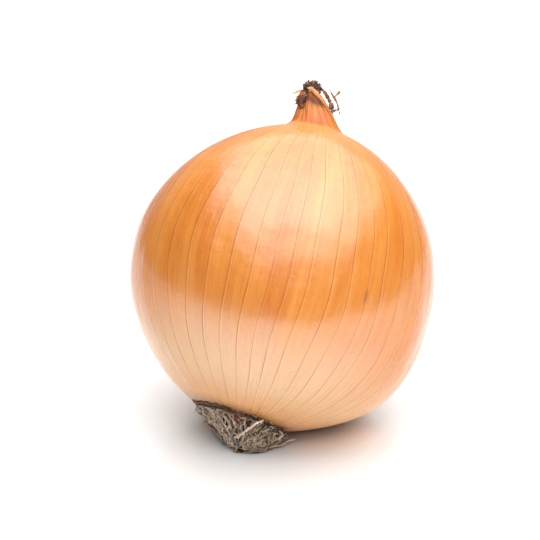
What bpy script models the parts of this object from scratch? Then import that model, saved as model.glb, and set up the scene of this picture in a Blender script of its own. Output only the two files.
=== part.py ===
"""A dry yellow onion, lying a little over on one cheek and on its root tuft.

Everything is modelled in the onion's own frame: +Z runs from the root end through the middle of
the bulb to the neck, +X is the fuller cheek, and -Y is the side with the long root. One empty
then leans that frame over, so that the onion rests on the surface Z = 0 on a small flat spot,
with the middle of the spot at the origin.
"""

import math
from typing import NamedTuple

import bmesh
import bpy
from mathutils import Matrix, Vector

MM = 0.001

# How the onion lies
LEAN = math.radians(31)  # of the bulb's axis from upright, towards +Y
ROLL = math.radians(25)  # of the bulb about its own axis
REST_SPOT_DEPTH = 0.75 * MM  # how much of the cheek is pressed flat by the surface

# The bulb: lengths in metres, angles in degrees at its centre, from the root end's axis
BULB_RADIUS = 38.6 * MM
SEAT_ANGLE = 17.6  # to the edge of the root seat
SEAT_SLANT = 3.4  # how much wider that is at -X than in the middle
SEAT_MIDDLE = -38.2 * MM  # height of the seat's middle
SEAT_HOLLOW = 1.2 * MM  # how far the skin turns in under the seat

# The neck: heights are above the bulb's centre
NECK_ANGLE = 167.5  # to where the shoulder turns up into the neck
NECK_FOOT = 39.2 * MM
NECK_TOP = 49.4 * MM
NECK_BEND = 3.6 * MM  # how far the neck's tip leans towards -X
NECK_CROWN = 0.2 * MM  # how far the tip is domed

# The root tuft
MAT_DEPTH = 7.8 * MM  # of the matted roots, below the seat
MAT_SHARE = 0.98  # of the seat's radius
ROOT_COUNT = 10
ROOT_THICK = 0.36 * MM  # radius of a single dry root
LONG_ROOT_THICK = 0.46 * MM

GAP = 0.4 * MM  # between pieces that touch

# Mesh resolution
AROUND = 60
BODY_RINGS = 28
NECK_RINGS = 9
MAT_AROUND = 36
MAT_RINGS = 9
ROOT_POINTS = 9

# name: (colour, roughness)
COLOURS = {
    "skin": ((0.80, 0.36, 0.10), 0.35),
    "dark_skin": ((0.16, 0.06, 0.03), 0.6),
    "pale_skin": ((0.72, 0.50, 0.28), 0.5),
    "dry_root": ((0.30, 0.22, 0.14), 0.9),
    "pale_root": ((0.60, 0.46, 0.33), 0.85),
}

# Routes of the two roots that leave the tuft, in millimetres in the onion's own frame
LONG_ROOT = [
    (-1.4, -8.7, -43.2),
    (-0.3, -10.4, -41.7),
    (1.0, -12.2, -40.2),
    (2.4, -13.9, -38.9),
    (3.7, -15.2, -37.9),
]
TRAILING_ROOT = [
    (5.0, -3.9, -44.0),
    (7.3, -2.2, -42.9),
    (9.4, -0.5, -41.7),
    (11.3, 1.0, -40.3),
    (12.8, 2.2, -39.2),
]


class Strip(NamedTuple):
    """A torn strip of dry skin: its route and sizes are in millimetres."""

    route: list
    widths: list
    thickness: float
    turn: float  # of the strip's flat about its route, from facing -Y, in radians
    material: str


STRIPS = {
    "neck_curl_left": Strip(
        route=[(-4.9, -3.3, 47.3), (-5.6, -3.3, 46.0), (-5.8, -3.5, 44.8), (-4.9, -4.2, 43.8)],
        widths=[0.8, 1.7, 1.6, 0.7],
        thickness=0.4,
        turn=0.7,
        material="dark_skin",
    ),
    "neck_wisp_left": Strip(
        route=[(-5.9, -1.3, 48.0), (-6.8, -1.4, 48.2), (-7.8, -1.4, 47.6), (-8.5, -1.3, 47.0)],
        widths=[0.9, 1.0, 0.8, 0.3],
        thickness=0.35,
        turn=0.3,
        material="pale_skin",
    ),
    "neck_strip_right": Strip(
        route=[(-1.7, -0.6, 50.5), (-0.1, -0.7, 49.3), (1.7, -0.8, 47.6), (2.4, -0.9, 46.1)],
        widths=[0.7, 1.1, 1.2, 0.5],
        thickness=0.4,
        turn=-0.5,
        material="dark_skin",
    ),
    "neck_fork_right": Strip(
        route=[
            (4.6, 0.3, 45.0),
            (3.7, 0.4, 46.4),
            (3.4, 0.4, 47.4),
            (2.3, 0.5, 49.1),
            (0.6, 0.6, 50.8),
        ],
        widths=[0.3, 0.5, 0.6, 0.5, 0.3],
        thickness=0.35,
        turn=0.2,
        material="dark_skin",
    ),
}
FORK_BRANCH = Strip(
    route=[(2.6, 0.5, 48.7), (3.0, 0.3, 49.7), (3.3, 0.1, 50.6)],
    widths=[0.4, 0.7, 0.9],
    thickness=0.4,
    turn=0.2,
    material="dark_skin",
)


def clear_scene():
    for old in list(bpy.data.objects):
        bpy.data.objects.remove(old)


def make_material(name):
    colour, roughness = COLOURS[name]
    material = bpy.data.materials.new(name)
    material.use_nodes = True
    shader = material.node_tree.nodes["Principled BSDF"]
    shader.inputs["Base Color"].default_value = (*colour, 1)
    shader.inputs["Roughness"].default_value = roughness
    shader.inputs["Metallic"].default_value = 0
    return material


# ---- the onion's form, in its own frame ---------------------------------------------------


def hump(angle, middle, width):
    """1 at the middle angle, falling smoothly to 0; angles in degrees."""
    return math.exp(-(((math.degrees(angle) - middle) / width) ** 2))


def skin_radius(polar, around):
    """Distance from the bulb's centre to its skin: polar is 0 at the root and pi at the neck."""
    lower_fullness = 0.9 * hump(polar, 58, 26)
    shoulder = 1.5 * hump(polar, 180, 26)
    root_end = 0.7 * hump(polar, 0, 22)
    cheek = 1.45 * hump(polar, 52, 24) + 0.35 * hump(polar, 150, 30)
    oval = 0.25 * math.sin(polar) * math.cos(2 * around + 0.7)
    lobes = 0.12 * math.sin(polar) * math.cos(5 * around + 1.9)
    return BULB_RADIUS + MM * (
        lower_fullness + shoulder + root_end + cheek * math.cos(around) + oval + lobes
    )


def skin_point(polar, around):
    radius = skin_radius(polar, around)
    return Vector(
        (
            radius * math.sin(polar) * math.cos(around),
            radius * math.sin(polar) * math.sin(around),
            -radius * math.cos(polar),
        )
    )


def neck_share(height):
    return (height - NECK_FOOT) / (NECK_TOP - NECK_FOOT)


def neck_radius(height):
    """Radius of the neck at a height above the bulb's centre: a flared foot, then a cone."""
    share = neck_share(height)
    flare = 1.1 * math.exp(-share / 0.08)
    return MM * (7.0 - 4.6 * share - 0.8 * share**6 + flare)


def neck_axis(height):
    share = neck_share(height)
    return Vector((-0.1 * MM - NECK_BEND * share, 0.1 * NECK_BEND * share, height))


def neck_point(height, around):
    share = neck_share(height)
    pleats = 1 + share * (0.05 * math.cos(7 * around + 2 * share) + 0.04 * math.cos(3 * around + 1))
    radius = neck_radius(height) * pleats
    return neck_axis(height) + Vector((radius * math.cos(around), radius * math.sin(around), 0))


def seat_angle(around):
    return math.radians(SEAT_ANGLE - SEAT_SLANT * math.cos(around))


def ring(point, count):
    """Points once around, from a function of the angle."""
    return [point(math.tau * step / count) for step in range(count)]


def spread(count):
    """Evenly spaced shares from 0 to 1."""
    return [step / (count - 1) for step in range(count)]


def body_point(share, around):
    """The skin from the edge of the root seat, at 0, to the neck's foot, at 1."""
    start, end = seat_angle(around), math.radians(NECK_ANGLE)
    return skin_point(start + (end - start) * share, around)


def mat_point(share, around):
    """The root tuft's outer face: share is 1 at its edge and 0 at its middle."""
    edge = skin_point(seat_angle(around), around)
    lumps = 0.35 * math.cos(9 * around + 7 * share) * share + 0.3 * math.cos(4 * around - 5 * share)
    radius = MAT_SHARE * math.hypot(edge.x, edge.y) * share
    seat = edge.z * share + SEAT_MIDDLE * (1 - share)
    bulge = share ** (1.18 + 0.12 * math.cos(around))
    depth = MAT_DEPTH * (1 - bulge) + 1.6 * GAP + MM * lumps * (1 - share)
    return Vector((radius * math.cos(around), radius * math.sin(around), seat - depth))


# ---- where the onion stands ---------------------------------------------------------------


def standing_matrix():
    """The onion's own frame to the world: leant over, with the rest spot at the origin."""
    turned = Matrix.Rotation(-LEAN, 4, "X") @ Matrix.Rotation(ROLL, 4, "Z")
    samples = [
        turned @ skin_point(math.radians(polar), math.radians(around))
        for polar in range(10, 60)
        for around in range(0, 360, 2)
    ]
    floor = min(point.z for point in samples) + REST_SPOT_DEPTH
    pressed = [point for point in samples if point.z < floor]
    middle = sum(pressed, Vector()) / len(pressed)
    return Matrix.Translation((-middle.x, -middle.y, -floor)) @ turned


# ---- building -----------------------------------------------------------------------------


def loft(bm, rings):
    """Skins a list of rings, in order, and returns their vertices."""
    made = [[bm.verts.new(point) for point in points] for points in rings]
    for lower, upper in zip(made, made[1:]):
        for step in range(len(lower)):
            after = (step + 1) % len(lower)
            bm.faces.new((lower[step], lower[after], upper[after], upper[step]))
    return made


def close_with_fan(bm, edge, point):
    """Closes an open ring with triangles to one point."""
    middle = bm.verts.new(point)
    for step in range(len(edge)):
        bm.faces.new((edge[step], edge[(step + 1) % len(edge)], middle))


def cut_at_surface(bm, standing):
    """Cuts off what lies below the surface and closes the cut with one flat face."""
    to_own = standing.inverted()
    down = (to_own.to_3x3() @ Vector((0, 0, -1))).normalized()
    cut = bmesh.ops.bisect_plane(
        bm,
        geom=bm.verts[:] + bm.edges[:] + bm.faces[:],
        plane_co=to_own @ Vector((0, 0, 0)),
        plane_no=down,
        clear_outer=True,
        dist=1e-6,
    )
    edges = [item for item in cut["geom_cut"] if isinstance(item, bmesh.types.BMEdge)]
    bmesh.ops.contextual_create(bm, geom=edges)


def finish_mesh(name, bm, material, holder):
    bmesh.ops.recalc_face_normals(bm, faces=bm.faces[:])
    bmesh.ops.triangulate(bm, faces=bm.faces[:])
    mesh = bpy.data.meshes.new(name)
    bm.to_mesh(mesh)
    bm.free()
    mesh.shade_smooth()
    mesh.set_sharp_from_angle(angle=math.radians(40))
    return link(name, mesh, material, holder)


def link(name, data, material, holder):
    piece = bpy.data.objects.new(name, data)
    data.materials.append(material)
    bpy.context.scene.collection.objects.link(piece)
    piece.parent = holder
    return piece


def make_bulb(standing, material, holder):
    """The bulb with its papery skin, drawn up into the dry neck: one grown piece."""
    body = [
        ring(lambda around, s=share: body_point(s, around), AROUND)
        for share in spread(BODY_RINGS + 1)
    ]
    heights = [NECK_FOOT + share**1.3 * (NECK_TOP - NECK_FOOT) for share in spread(NECK_RINGS)]
    neck = [ring(lambda around, h=height: neck_point(h, around), AROUND) for height in heights]
    bm = bmesh.new()
    rings = loft(bm, body + neck)
    close_with_fan(bm, rings[0], (0, 0, SEAT_MIDDLE + SEAT_HOLLOW))
    close_with_fan(bm, rings[-1], neck_axis(NECK_TOP + NECK_CROWN))
    cut_at_surface(bm, standing)
    return finish_mesh("bulb", bm, material, holder)


def make_root_mat(standing, material, holder):
    """The basal plate under its mat of dried roots, pressed flat where it meets the surface."""
    shares = [step / MAT_RINGS for step in range(MAT_RINGS, 0, -1)]
    bm = bmesh.new()
    rings = loft(
        bm, [ring(lambda around, s=share: mat_point(s, around), MAT_AROUND) for share in shares]
    )
    close_with_fan(bm, rings[0], (0, 0, SEAT_MIDDLE + SEAT_HOLLOW - GAP))
    close_with_fan(bm, rings[-1], mat_point(0.0, 0.0))
    cut_at_surface(bm, standing)
    return finish_mesh("root_mat", bm, material, holder)


def make_strand(name, points, radii, material, holder, sides=6):
    """A root or a fibre: a tube through points, with its own radius at each one."""
    curve = bpy.data.curves.new(name, "CURVE")
    curve.dimensions = "3D"
    curve.bevel_depth = 1.0
    curve.bevel_resolution = (sides - 4) // 2
    curve.use_fill_caps = True
    spline = curve.splines.new("POLY")
    spline.points.add(len(points) - 1)
    for target, point, radius in zip(spline.points, points, radii):
        target.co = (*point, 1)
        target.radius = radius
    return link(name, curve, material, holder)


def smooth_route(corners, per_span=3):
    """A Catmull-Rom curve through points given in millimetres."""
    corners = [Vector(corner) * MM for corner in corners]
    padded = [2 * corners[0] - corners[1], *corners, 2 * corners[-1] - corners[-2]]
    route = []
    for before, start, end, after in zip(padded, padded[1:], padded[2:], padded[3:]):
        for step in range(per_span):
            t = step / per_span
            route.append(
                0.5
                * (
                    2 * start
                    + (end - before) * t
                    + (2 * before - 5 * start + 4 * end - after) * t**2
                    + (3 * start - before - 3 * end + after) * t**3
                )
            )
    return [*route, corners[-1]]


def taper(count, thick, thin):
    return [thick + (thin - thick) * (step / (count - 1)) ** 2 for step in range(count)]


def make_roots(standing, material, holder):
    """Single roots that stand clear of the mat, each curling from its middle to its edge."""
    outward = Vector((0.57, 0, -0.82))
    first, last = math.radians(190), math.radians(305)  # the sides that are clear of the surface
    for number in range(ROOT_COUNT):
        middle = first + (last - first) * number / (ROOT_COUNT - 1)
        start = 0.34 + 0.3 * abs(math.sin(3.1 * number)) + 0.25 * max(0.0, math.sin(middle + ROLL))
        reach = 0.95 + 0.05 * math.sin(1.7 * number)
        thick = ROOT_THICK * (1 + 0.14 * math.sin(2.3 * number))
        points = []
        for along in spread(ROOT_POINTS):
            around = middle + 0.07 * math.sin(math.tau * along + number)
            aim = Matrix.Rotation(around, 3, "Z") @ outward
            share = start + (reach - start) * along
            points.append(mat_point(share, around) + aim * (thick + 1.15 * GAP))
        lowest = min((standing @ point).z for point in points)
        if lowest < thick:
            raise ValueError(f"root {number + 1} reaches below the surface")
        radii = taper(ROOT_POINTS, thick, 0.5 * thick)
        make_strand(f"root_{number + 1:02d}", points, radii, material, holder)


def make_leaving_root(name, corners, thick, material, holder):
    """A root that leaves the tuft along its own route."""
    route = smooth_route(corners)
    make_strand(name, route, taper(len(route), thick, 0.74 * thick), material, holder, sides=8)


def make_strip(name, strip, material, holder):
    """A torn papery strip: a flat band along a route, with its own width at each corner."""
    front = Vector((0, -1, 0))
    route = smooth_route(strip.route, 2)
    widths = strip.widths
    rings = []
    for step, point in enumerate(route):
        ahead = route[min(step + 1, len(route) - 1)] - route[max(step - 1, 0)]
        place = step / (len(route) - 1) * (len(widths) - 1)
        lower = min(int(place), len(widths) - 2)
        width = widths[lower] + (widths[lower + 1] - widths[lower]) * (place - lower)
        along = ahead.normalized()
        facing = (front - along * front.dot(along)).normalized()
        facing = Matrix.Rotation(strip.turn, 3, along) @ facing
        depth = facing * 0.5 * strip.thickness * MM
        side = along.cross(facing) * 0.5 * width * MM
        signs = ((1, 1), (-1, 1), (-1, -1), (1, -1))
        rings.append([point + side * a + depth * b for a, b in signs])
    bm = bmesh.new()
    made = loft(bm, rings)
    bm.faces.new(made[0])
    bm.faces.new(made[-1])
    return finish_mesh(name, bm, material, holder)


def make_strips(materials, holder):
    for name, strip in STRIPS.items():
        make_strip(name, strip, materials[strip.material], holder)
    branch = make_strip("fork_branch", FORK_BRANCH, materials[FORK_BRANCH.material], holder)
    branch.hide_render = True
    branch.display_type = "WIRE"
    union = bpy.data.objects["neck_fork_right"].modifiers.new("branch", "BOOLEAN")
    union.operation = "UNION"
    union.object = branch


def stub_point(height, width, around):
    """A lumpy ring of the leaf stub, in millimetres above its foot."""
    lobed = width * (1 + 0.18 * math.cos(5 * around + height))
    flattened = 0.8 * width * (1 + 0.15 * math.cos(3 * around))
    ragged = height * (1 + 0.14 * math.cos(4 * around + 1))
    return MM * Vector((lobed * math.cos(around), flattened * math.sin(around), ragged))


def make_leaf_stub(material, holder):
    """The withered leaf bases that poke out of the neck's tip: a dark, crumpled knot."""
    foot = neck_axis(NECK_TOP) + Vector((-0.7 * MM, 0, NECK_CROWN + GAP))
    profile = [(0.0, 1.4), (0.5, 1.8), (1.0, 1.9), (1.5, 1.7), (1.8, 1.0)]  # height and width, mm
    bm = bmesh.new()
    rings = loft(
        bm, [ring(lambda around, h=h, w=w: foot + stub_point(h, w, around), 16) for h, w in profile]
    )
    close_with_fan(bm, rings[0], foot)
    close_with_fan(bm, rings[-1], foot + Vector((0, 0, 1.9 * MM)))
    return finish_mesh("leaf_stub", bm, material, holder)


def main():
    clear_scene()
    materials = {name: make_material(name) for name in COLOURS}
    standing = standing_matrix()
    holder = bpy.data.objects.new("onion", None)
    bpy.context.scene.collection.objects.link(holder)
    holder.matrix_world = standing
    make_bulb(standing, materials["skin"], holder)
    make_root_mat(standing, materials["dry_root"], holder)
    make_roots(standing, materials["dry_root"], holder)
    make_leaving_root("long_root", LONG_ROOT, LONG_ROOT_THICK, materials["pale_root"], holder)
    make_leaving_root("trailing_root", TRAILING_ROOT, ROOT_THICK, materials["pale_root"], holder)
    make_leaf_stub(materials["dark_skin"], holder)
    make_strips(materials, holder)


main()
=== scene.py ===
"""The looks of a dry yellow onion that lies on its lower cheek and its root tuft.

The pieces are shaped in the onion's own frame, in millimetres: +Z runs from the root end
through the middle of the bulb to the neck, +X is the fuller cheek, and -Y is the side with the
long root. to_world() leans that frame over onto the surface Z = 0, in metres.
"""

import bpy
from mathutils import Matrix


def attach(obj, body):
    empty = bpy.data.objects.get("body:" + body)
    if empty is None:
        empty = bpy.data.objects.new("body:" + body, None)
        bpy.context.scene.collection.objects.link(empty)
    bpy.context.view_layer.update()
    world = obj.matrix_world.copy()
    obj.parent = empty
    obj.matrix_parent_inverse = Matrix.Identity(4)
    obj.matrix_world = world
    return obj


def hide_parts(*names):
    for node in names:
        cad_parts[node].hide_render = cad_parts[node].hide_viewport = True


bl_info = {
    "name": "Dry onion",
    "version": (1, 0, 0),
    "blender": (4, 5, 0),
    "location": "View3D > Sidebar > Onion",
    "description": "Builds a yellow onion with its papery skin, dry neck and root tuft",
    "category": "Object",
}

import math
from types import SimpleNamespace

import bmesh
import bpy
import numpy as np
from bpy.props import FloatProperty, FloatVectorProperty, IntProperty, PointerProperty
from mathutils import Matrix, Vector, noise

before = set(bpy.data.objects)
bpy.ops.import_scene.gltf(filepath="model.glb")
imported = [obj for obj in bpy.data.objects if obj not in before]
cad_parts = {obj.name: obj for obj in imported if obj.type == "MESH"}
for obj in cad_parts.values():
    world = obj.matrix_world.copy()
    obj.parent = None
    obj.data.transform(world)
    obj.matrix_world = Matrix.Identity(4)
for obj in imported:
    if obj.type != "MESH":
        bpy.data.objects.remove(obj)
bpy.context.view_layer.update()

MM = 0.001
BODY = "root"  # the one body that every piece moves with

# ---- driving dimensions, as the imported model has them: millimetres and degrees --------------

LEAN = 31
ROLL = 25
REST_SPOT_DEPTH = 0.75
BULB_RADIUS = 38.6
SEAT_ANGLE = 17.6
SEAT_SLANT = 3.4
SEAT_MIDDLE = -38.2
SEAT_HOLLOW = 1.2
NECK_ANGLE = 167.5
NECK_FOOT = 39.2
NECK_TOP = 49.4
NECK_BEND = 3.6
NECK_CROWN = 0.2
MAT_DEPTH = 7.8
MAT_SHARE = 0.98
GAP = 0.4
ROOT_THICK = 0.36
ROOT_COUNT = 10
ROOT_FAN = (190, 305)  # degrees round the seat, from the first single root to the last

LONG_ROOT = [
    (-1.4, -8.7, -43.2),
    (-0.3, -10.4, -41.7),
    (1.0, -12.2, -40.2),
    (2.4, -13.9, -38.9),
    (3.7, -15.2, -37.9),
]
TRAILING_ROOT = [
    (5.0, -3.9, -44.0),
    (7.3, -2.2, -42.9),
    (9.4, -0.5, -41.7),
    (11.3, 1.0, -40.3),
    (12.8, 2.2, -39.2),
]

# ---- the skin, in mm along it ----------------------------------------------------------------

SKIN_LENGTH = 101.0  # from the root seat to the neck's foot
NECK_STEP = 0.3  # from the bulb's last ring to the neck's first
VEIN_REACH = 115  # the length over which the veins' heights vary
VEIN_STEPS = 60
FOLD_COUNT = 30  # lengthwise folds of the neck

# ---- stains on the skin, and the painted shade under the neck's hood: two ends of the line that each follows, and its reach, in mm ---

# painted shade: where the hood's lip would shade the neck below it
HOOD_SHADE_LINES = [((-4.8, -2.4, 46.8), (-1.2, -3.2, 46.0), 1.35)]
RED_STAINS = [
    ((-6.6, -2.0, 40.3), (-1.0, -7.4, 40.0), 1.5),
    ((0.5, -4.6, 43.0), (1.5, -6.0, 41.0), 1.3),
]
BROWN_STAINS = [
    ((-7.2, -0.6, 42.0), (-5.8, -2.4, 46.5), 1.1),
    ((20.8, -32.8, -3.0), (20.9, -32.5, -5.6), 0.42),
]

VEIN_SEED, GORE_SEED, FOLD_SEED = 7, 3, 11

# ---- mesh resolution -------------------------------------------------------------------------

SKIN_AROUND = 440
BODY_RINGS = 150
NECK_RINGS = 46
# rows and columns of each grid of points
MAT_GRID = (60, 200)
FIBRE_GRID = (50, 160)
COLLAR_GRID = (14, 480)
RIM_GRID = (6, 120)
FLAP_GRID = (14, 60)
RUST_GRID = (10, 40)
GRIT_GRID = (16, 60)
LEAF_GRID = (18, 96)
# points across a torn strip, and along a root and a hair
STRIP_COLUMNS, ROOT_POINTS, HAIR_POINTS = 12, 24, 12
FLOOR_CORNERS = 96

CLEARANCE = 0.02  # mm by which the pressed flat stays above the surface


# ---- the onion's form, in millimetres in its own frame ---------------------------------------


def hump(angle, middle, width):
    """1 at the middle angle, falling smoothly to 0; angle in radians, the rest in degrees."""
    return np.exp(-(((np.degrees(angle) - middle) / width) ** 2))


def skin_radius(polar, around):
    """Distance from the bulb's centre to its skin: polar is 0 at the root and pi at the neck."""
    lower_fullness = 0.9 * hump(polar, 58, 26)
    shoulder = 1.5 * hump(polar, 180, 26)
    root_end = 0.7 * hump(polar, 0, 22)
    cheek = 1.45 * hump(polar, 52, 24) + 0.35 * hump(polar, 150, 30)
    oval = 0.25 * np.sin(polar) * np.cos(2 * around + 0.7)
    lobes = 0.12 * np.sin(polar) * np.cos(5 * around + 1.9)
    return BULB_RADIUS + lower_fullness + shoulder + root_end + cheek * np.cos(around) + oval + lobes


def skin_point(polar, around, extra=0.0):
    radius = skin_radius(polar, around) + extra
    flat = radius * np.sin(polar)
    return np.stack([flat * np.cos(around), flat * np.sin(around), -radius * np.cos(polar)], -1)


def seat_angle(around):
    return np.radians(SEAT_ANGLE - SEAT_SLANT * np.cos(around))


def neck_share(height):
    return (height - NECK_FOOT) / (NECK_TOP - NECK_FOOT)


def neck_radius(height):
    """Radius of the neck at a height above the bulb's centre: a flared foot, then a cone."""
    share = neck_share(height)
    return 7.0 - 4.6 * share - 0.8 * share**6 + 1.1 * np.exp(-share / 0.08)


def neck_point(height, around, extra=0.0):
    share = neck_share(height)
    pleats = 1 + share * (0.05 * np.cos(7 * around + 2 * share) + 0.04 * np.cos(3 * around + 1))
    radius = neck_radius(height) * pleats + extra
    across = radius * np.cos(around) - 0.1 - NECK_BEND * share
    deep = radius * np.sin(around) + 0.1 * NECK_BEND * share
    return np.stack([across, deep, height + 0 * radius], -1)


def mat_point(share, around):
    """The root tuft's outer face: share is 1 at its edge and 0 at its middle."""
    edge = skin_point(seat_angle(around), around)
    lumps = 0.35 * np.cos(9 * around + 7 * share) * share + 0.3 * np.cos(4 * around - 5 * share)
    radius = MAT_SHARE * np.hypot(edge[..., 0], edge[..., 1]) * share
    seat = edge[..., 2] * share + SEAT_MIDDLE * (1 - share)
    bulge = share ** (1.18 + 0.12 * np.cos(around))
    depth = MAT_DEPTH * (1 - bulge) + 1.6 * GAP + lumps * (1 - share)
    depth -= 1.2 * hump(around, 198, 34) * np.sqrt(np.clip(4 * share * (1 - share), 0, 1))
    return np.stack([radius * np.cos(around), radius * np.sin(around), seat - depth], -1)


def find_standing():
    """How the onion lies: its turn, and the place of its centre above the surface, in mm."""
    turn = Matrix.Rotation(math.radians(-LEAN), 3, "X") @ Matrix.Rotation(math.radians(ROLL), 3, "Z")
    turn = np.array(turn)
    polar, around = np.meshgrid(np.radians(np.arange(10, 60)), np.radians(np.arange(0, 360, 2)))
    samples = skin_point(polar.ravel(), around.ravel()) @ turn.T
    floor = samples[:, 2].min() + REST_SPOT_DEPTH
    middle = samples[samples[:, 2] < floor].mean(0)
    return turn, np.array([-middle[0], -middle[1], -floor])


TURN, PLACE = find_standing()


def to_world(points):
    """Own frame in millimetres to the world in metres, pressed flat where it meets the surface."""
    world = (np.asarray(points, float) @ TURN.T + PLACE) * MM
    world[..., 2] = np.maximum(world[..., 2], CLEARANCE * MM)
    return world


# ---- small tools -----------------------------------------------------------------------------


def unit_rows(count):
    """A column of numbers from 0 to 1, one for each row of a grid."""
    return np.linspace(0, 1, count)[:, None]


def full_circle(count):
    """Angles right round, one for each column of a grid."""
    return np.linspace(0, math.tau, count, endpoint=False)[None, :]


def arc(first, last, count):
    """Angles from first to last, given in degrees, one for each column of a grid."""
    return np.radians(np.linspace(first, last, count))[None, :]


def ring_spots(radius, around, height):
    """A point on a ring for each angle and height, as a grid."""
    sides = np.broadcast_arrays(radius * np.cos(around), radius * np.sin(around), height)
    return np.stack(sides, -1)


def smooth_noise(points, size, seed=0.0):
    """Perlin noise from -1 to 1 at each point, with features of this size."""
    flat = np.asarray(points, float).reshape(-1, 3) / size + seed
    values = np.fromiter((noise.noise(point) for point in flat), float, len(flat))
    return values.reshape(np.shape(points)[:-1])


def smooth_step(value, low, high):
    share = np.clip((value - low) / (high - low), 0, 1)
    return share * share * (3 - 2 * share)


def smooth_route(corners, count):
    """Points on a Catmull-Rom curve through the corners."""
    corners = np.asarray(corners, float)
    padded = np.vstack([2 * corners[0] - corners[1], corners, 2 * corners[-1] - corners[-2]])
    places = np.linspace(0, len(corners) - 1, count)
    span = np.minimum(places.astype(int), len(corners) - 2)
    t = (places - span)[:, None]
    before, start, end, after = (padded[span + step] for step in range(4))
    bend = 2 * before - 5 * start + 4 * end - after
    swing = 3 * start - before - 3 * end + after
    return 0.5 * (2 * start + (end - before) * t + bend * t**2 + swing * t**3)


def set_vectors(mesh, name, values):
    """Stores one vector for each vertex, which the materials read by this name."""
    layer = mesh.attributes.new(name, "FLOAT_VECTOR", "POINT")
    layer.data.foreach_set("vector", np.asarray(values, np.float32).ravel())


def new_mesh(name, points, faces, grain=None):
    """A smooth mesh from points in the onion's own frame."""
    mesh = bpy.data.meshes.new(name)
    mesh.from_pydata(to_world(np.reshape(points, (-1, 3))), [], faces)
    if grain is not None:
        set_vectors(mesh, "grain", grain)
    mesh.shade_smooth()
    return mesh


def face_outwards(mesh):
    shape = bmesh.new()
    shape.from_mesh(mesh)
    bmesh.ops.recalc_face_normals(shape, faces=shape.faces[:])
    shape.to_mesh(mesh)
    shape.free()
    return mesh


def grid_faces(rows, columns, wrap):
    """Quads of a grid of points; with wrap, the last column joins the first."""
    faces = []
    for row in range(rows - 1):
        for column in range(columns if wrap else columns - 1):
            after = (column + 1) % columns
            low, high = row * columns, (row + 1) * columns
            faces.append((low + column, low + after, high + after, high + column))
    return faces


def sheet_mesh(name, outer, inner, grain, wrap=False):
    """A thin closed sheet between two grids of points; with wrap, its columns join round."""
    rows, columns = outer.shape[:2]
    back = rows * columns
    front_faces = grid_faces(rows, columns, wrap)
    faces = front_faces + [tuple(back + corner for corner in face[::-1]) for face in front_faces]
    top = (rows - 1) * columns
    for column in range(columns if wrap else columns - 1):
        after = (column + 1) % columns
        faces.append((after, column, back + column, back + after))
        faces.append((top + column, top + after, back + top + after, back + top + column))
    if not wrap:
        for row in range(rows - 1):
            for edge in (0, columns - 1):
                low, high = row * columns + edge, (row + 1) * columns + edge
                faces.append((low, high, back + high, back + low))
    points = np.concatenate([outer.reshape(-1, 3), inner.reshape(-1, 3)])
    grains = np.concatenate([grain.reshape(-1, 3)] * 2)
    return face_outwards(new_mesh(name, points, faces, grains))


def add_piece(name, mesh, material, slot, *nodes):
    """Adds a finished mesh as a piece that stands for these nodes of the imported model."""
    mesh.materials.clear()
    mesh.materials.append(material)
    piece = bpy.data.objects.new(name, mesh)
    bpy.context.scene.collection.objects.link(piece)
    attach(piece, BODY)
    if nodes:
        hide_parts(*nodes)


# ---- node helpers ----------------------------------------------------------------------------


def add_node(tree, kind, inputs=None, **settings):
    """Adds a node, sets it up, and links or sets each input given by its name or number."""
    node = tree.nodes.new(kind)
    for name, value in settings.items():
        setattr(node, name, value)
    for name, value in (inputs or {}).items():
        if isinstance(value, bpy.types.NodeSocket):
            tree.links.new(value, node.inputs[name])
        else:
            node.inputs[name].default_value = value
    return node


def result(tree, kind, inputs=None, **settings):
    """Adds a node as add_node does, and returns its first output."""
    return add_node(tree, kind, inputs, **settings).outputs[0]


def calc(tree, operation, first, second=0.0):
    return result(tree, "ShaderNodeMath", {0: first, 1: second}, operation=operation)


def plus(tree, first, second):
    return calc(tree, "ADD", first, second)


def minus(tree, first, second):
    return calc(tree, "SUBTRACT", first, second)


def times(tree, first, second):
    return calc(tree, "MULTIPLY", first, second)


def weighted_sum(tree, *parts):
    """The sum of values, each times its weight."""
    total, *rest = [times(tree, value, weight) for value, weight in parts]
    for part in rest:
        total = plus(tree, total, part)
    return total


def vector_calc(tree, operation, first, second):
    return result(tree, "ShaderNodeVectorMath", {0: first, 1: second}, operation=operation)


def stretch(tree, vector, factor):
    """A vector times one number."""
    return result(tree, "ShaderNodeVectorMath", {0: vector, "Scale": factor}, operation="SCALE")


def vector_of(tree, across, deep, tall):
    return result(tree, "ShaderNodeCombineXYZ", {0: across, 1: deep, 2: tall})


def remap(tree, value, low, high, to_low=0.0, to_high=1.0):
    """Turns the range low to high into another, with soft ends."""
    inputs = {0: value, 1: low, 2: high, 3: to_low, 4: to_high}
    return result(tree, "ShaderNodeMapRange", inputs, interpolation_type="SMOOTHSTEP")


def colour_of(value):
    """A socket as it is, and three numbers as an opaque colour."""
    return value if isinstance(value, bpy.types.NodeSocket) else (*value, 1)


def mix(tree, factor, first, second):
    """A mix of two colours."""
    inputs = {0: factor, 6: colour_of(first), 7: colour_of(second)}
    return add_node(tree, "ShaderNodeMix", inputs, data_type="RGBA").outputs[2]


def tint(tree, colour, shade, mask, low, high, share=1.0):
    """Lays a shade over a colour as the mask runs from low to high, up to this share."""
    return mix(tree, remap(tree, mask, low, high, 0.0, share), colour, shade)


def noise_at(tree, vector, scale, detail=2.0):
    return result(tree, "ShaderNodeTexNoise", {"Vector": vector, "Scale": scale, "Detail": detail})


def attribute(tree, name):
    return add_node(tree, "ShaderNodeAttribute", attribute_name=name).outputs["Vector"]


def split(tree, vector):
    return add_node(tree, "ShaderNodeSeparateXYZ", {0: vector}).outputs


SOCKET_KINDS = {
    float: "NodeSocketFloat",
    int: "NodeSocketInt",
    tuple: "NodeSocketVector",
    type(None): "NodeSocketMaterial",
}


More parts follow.
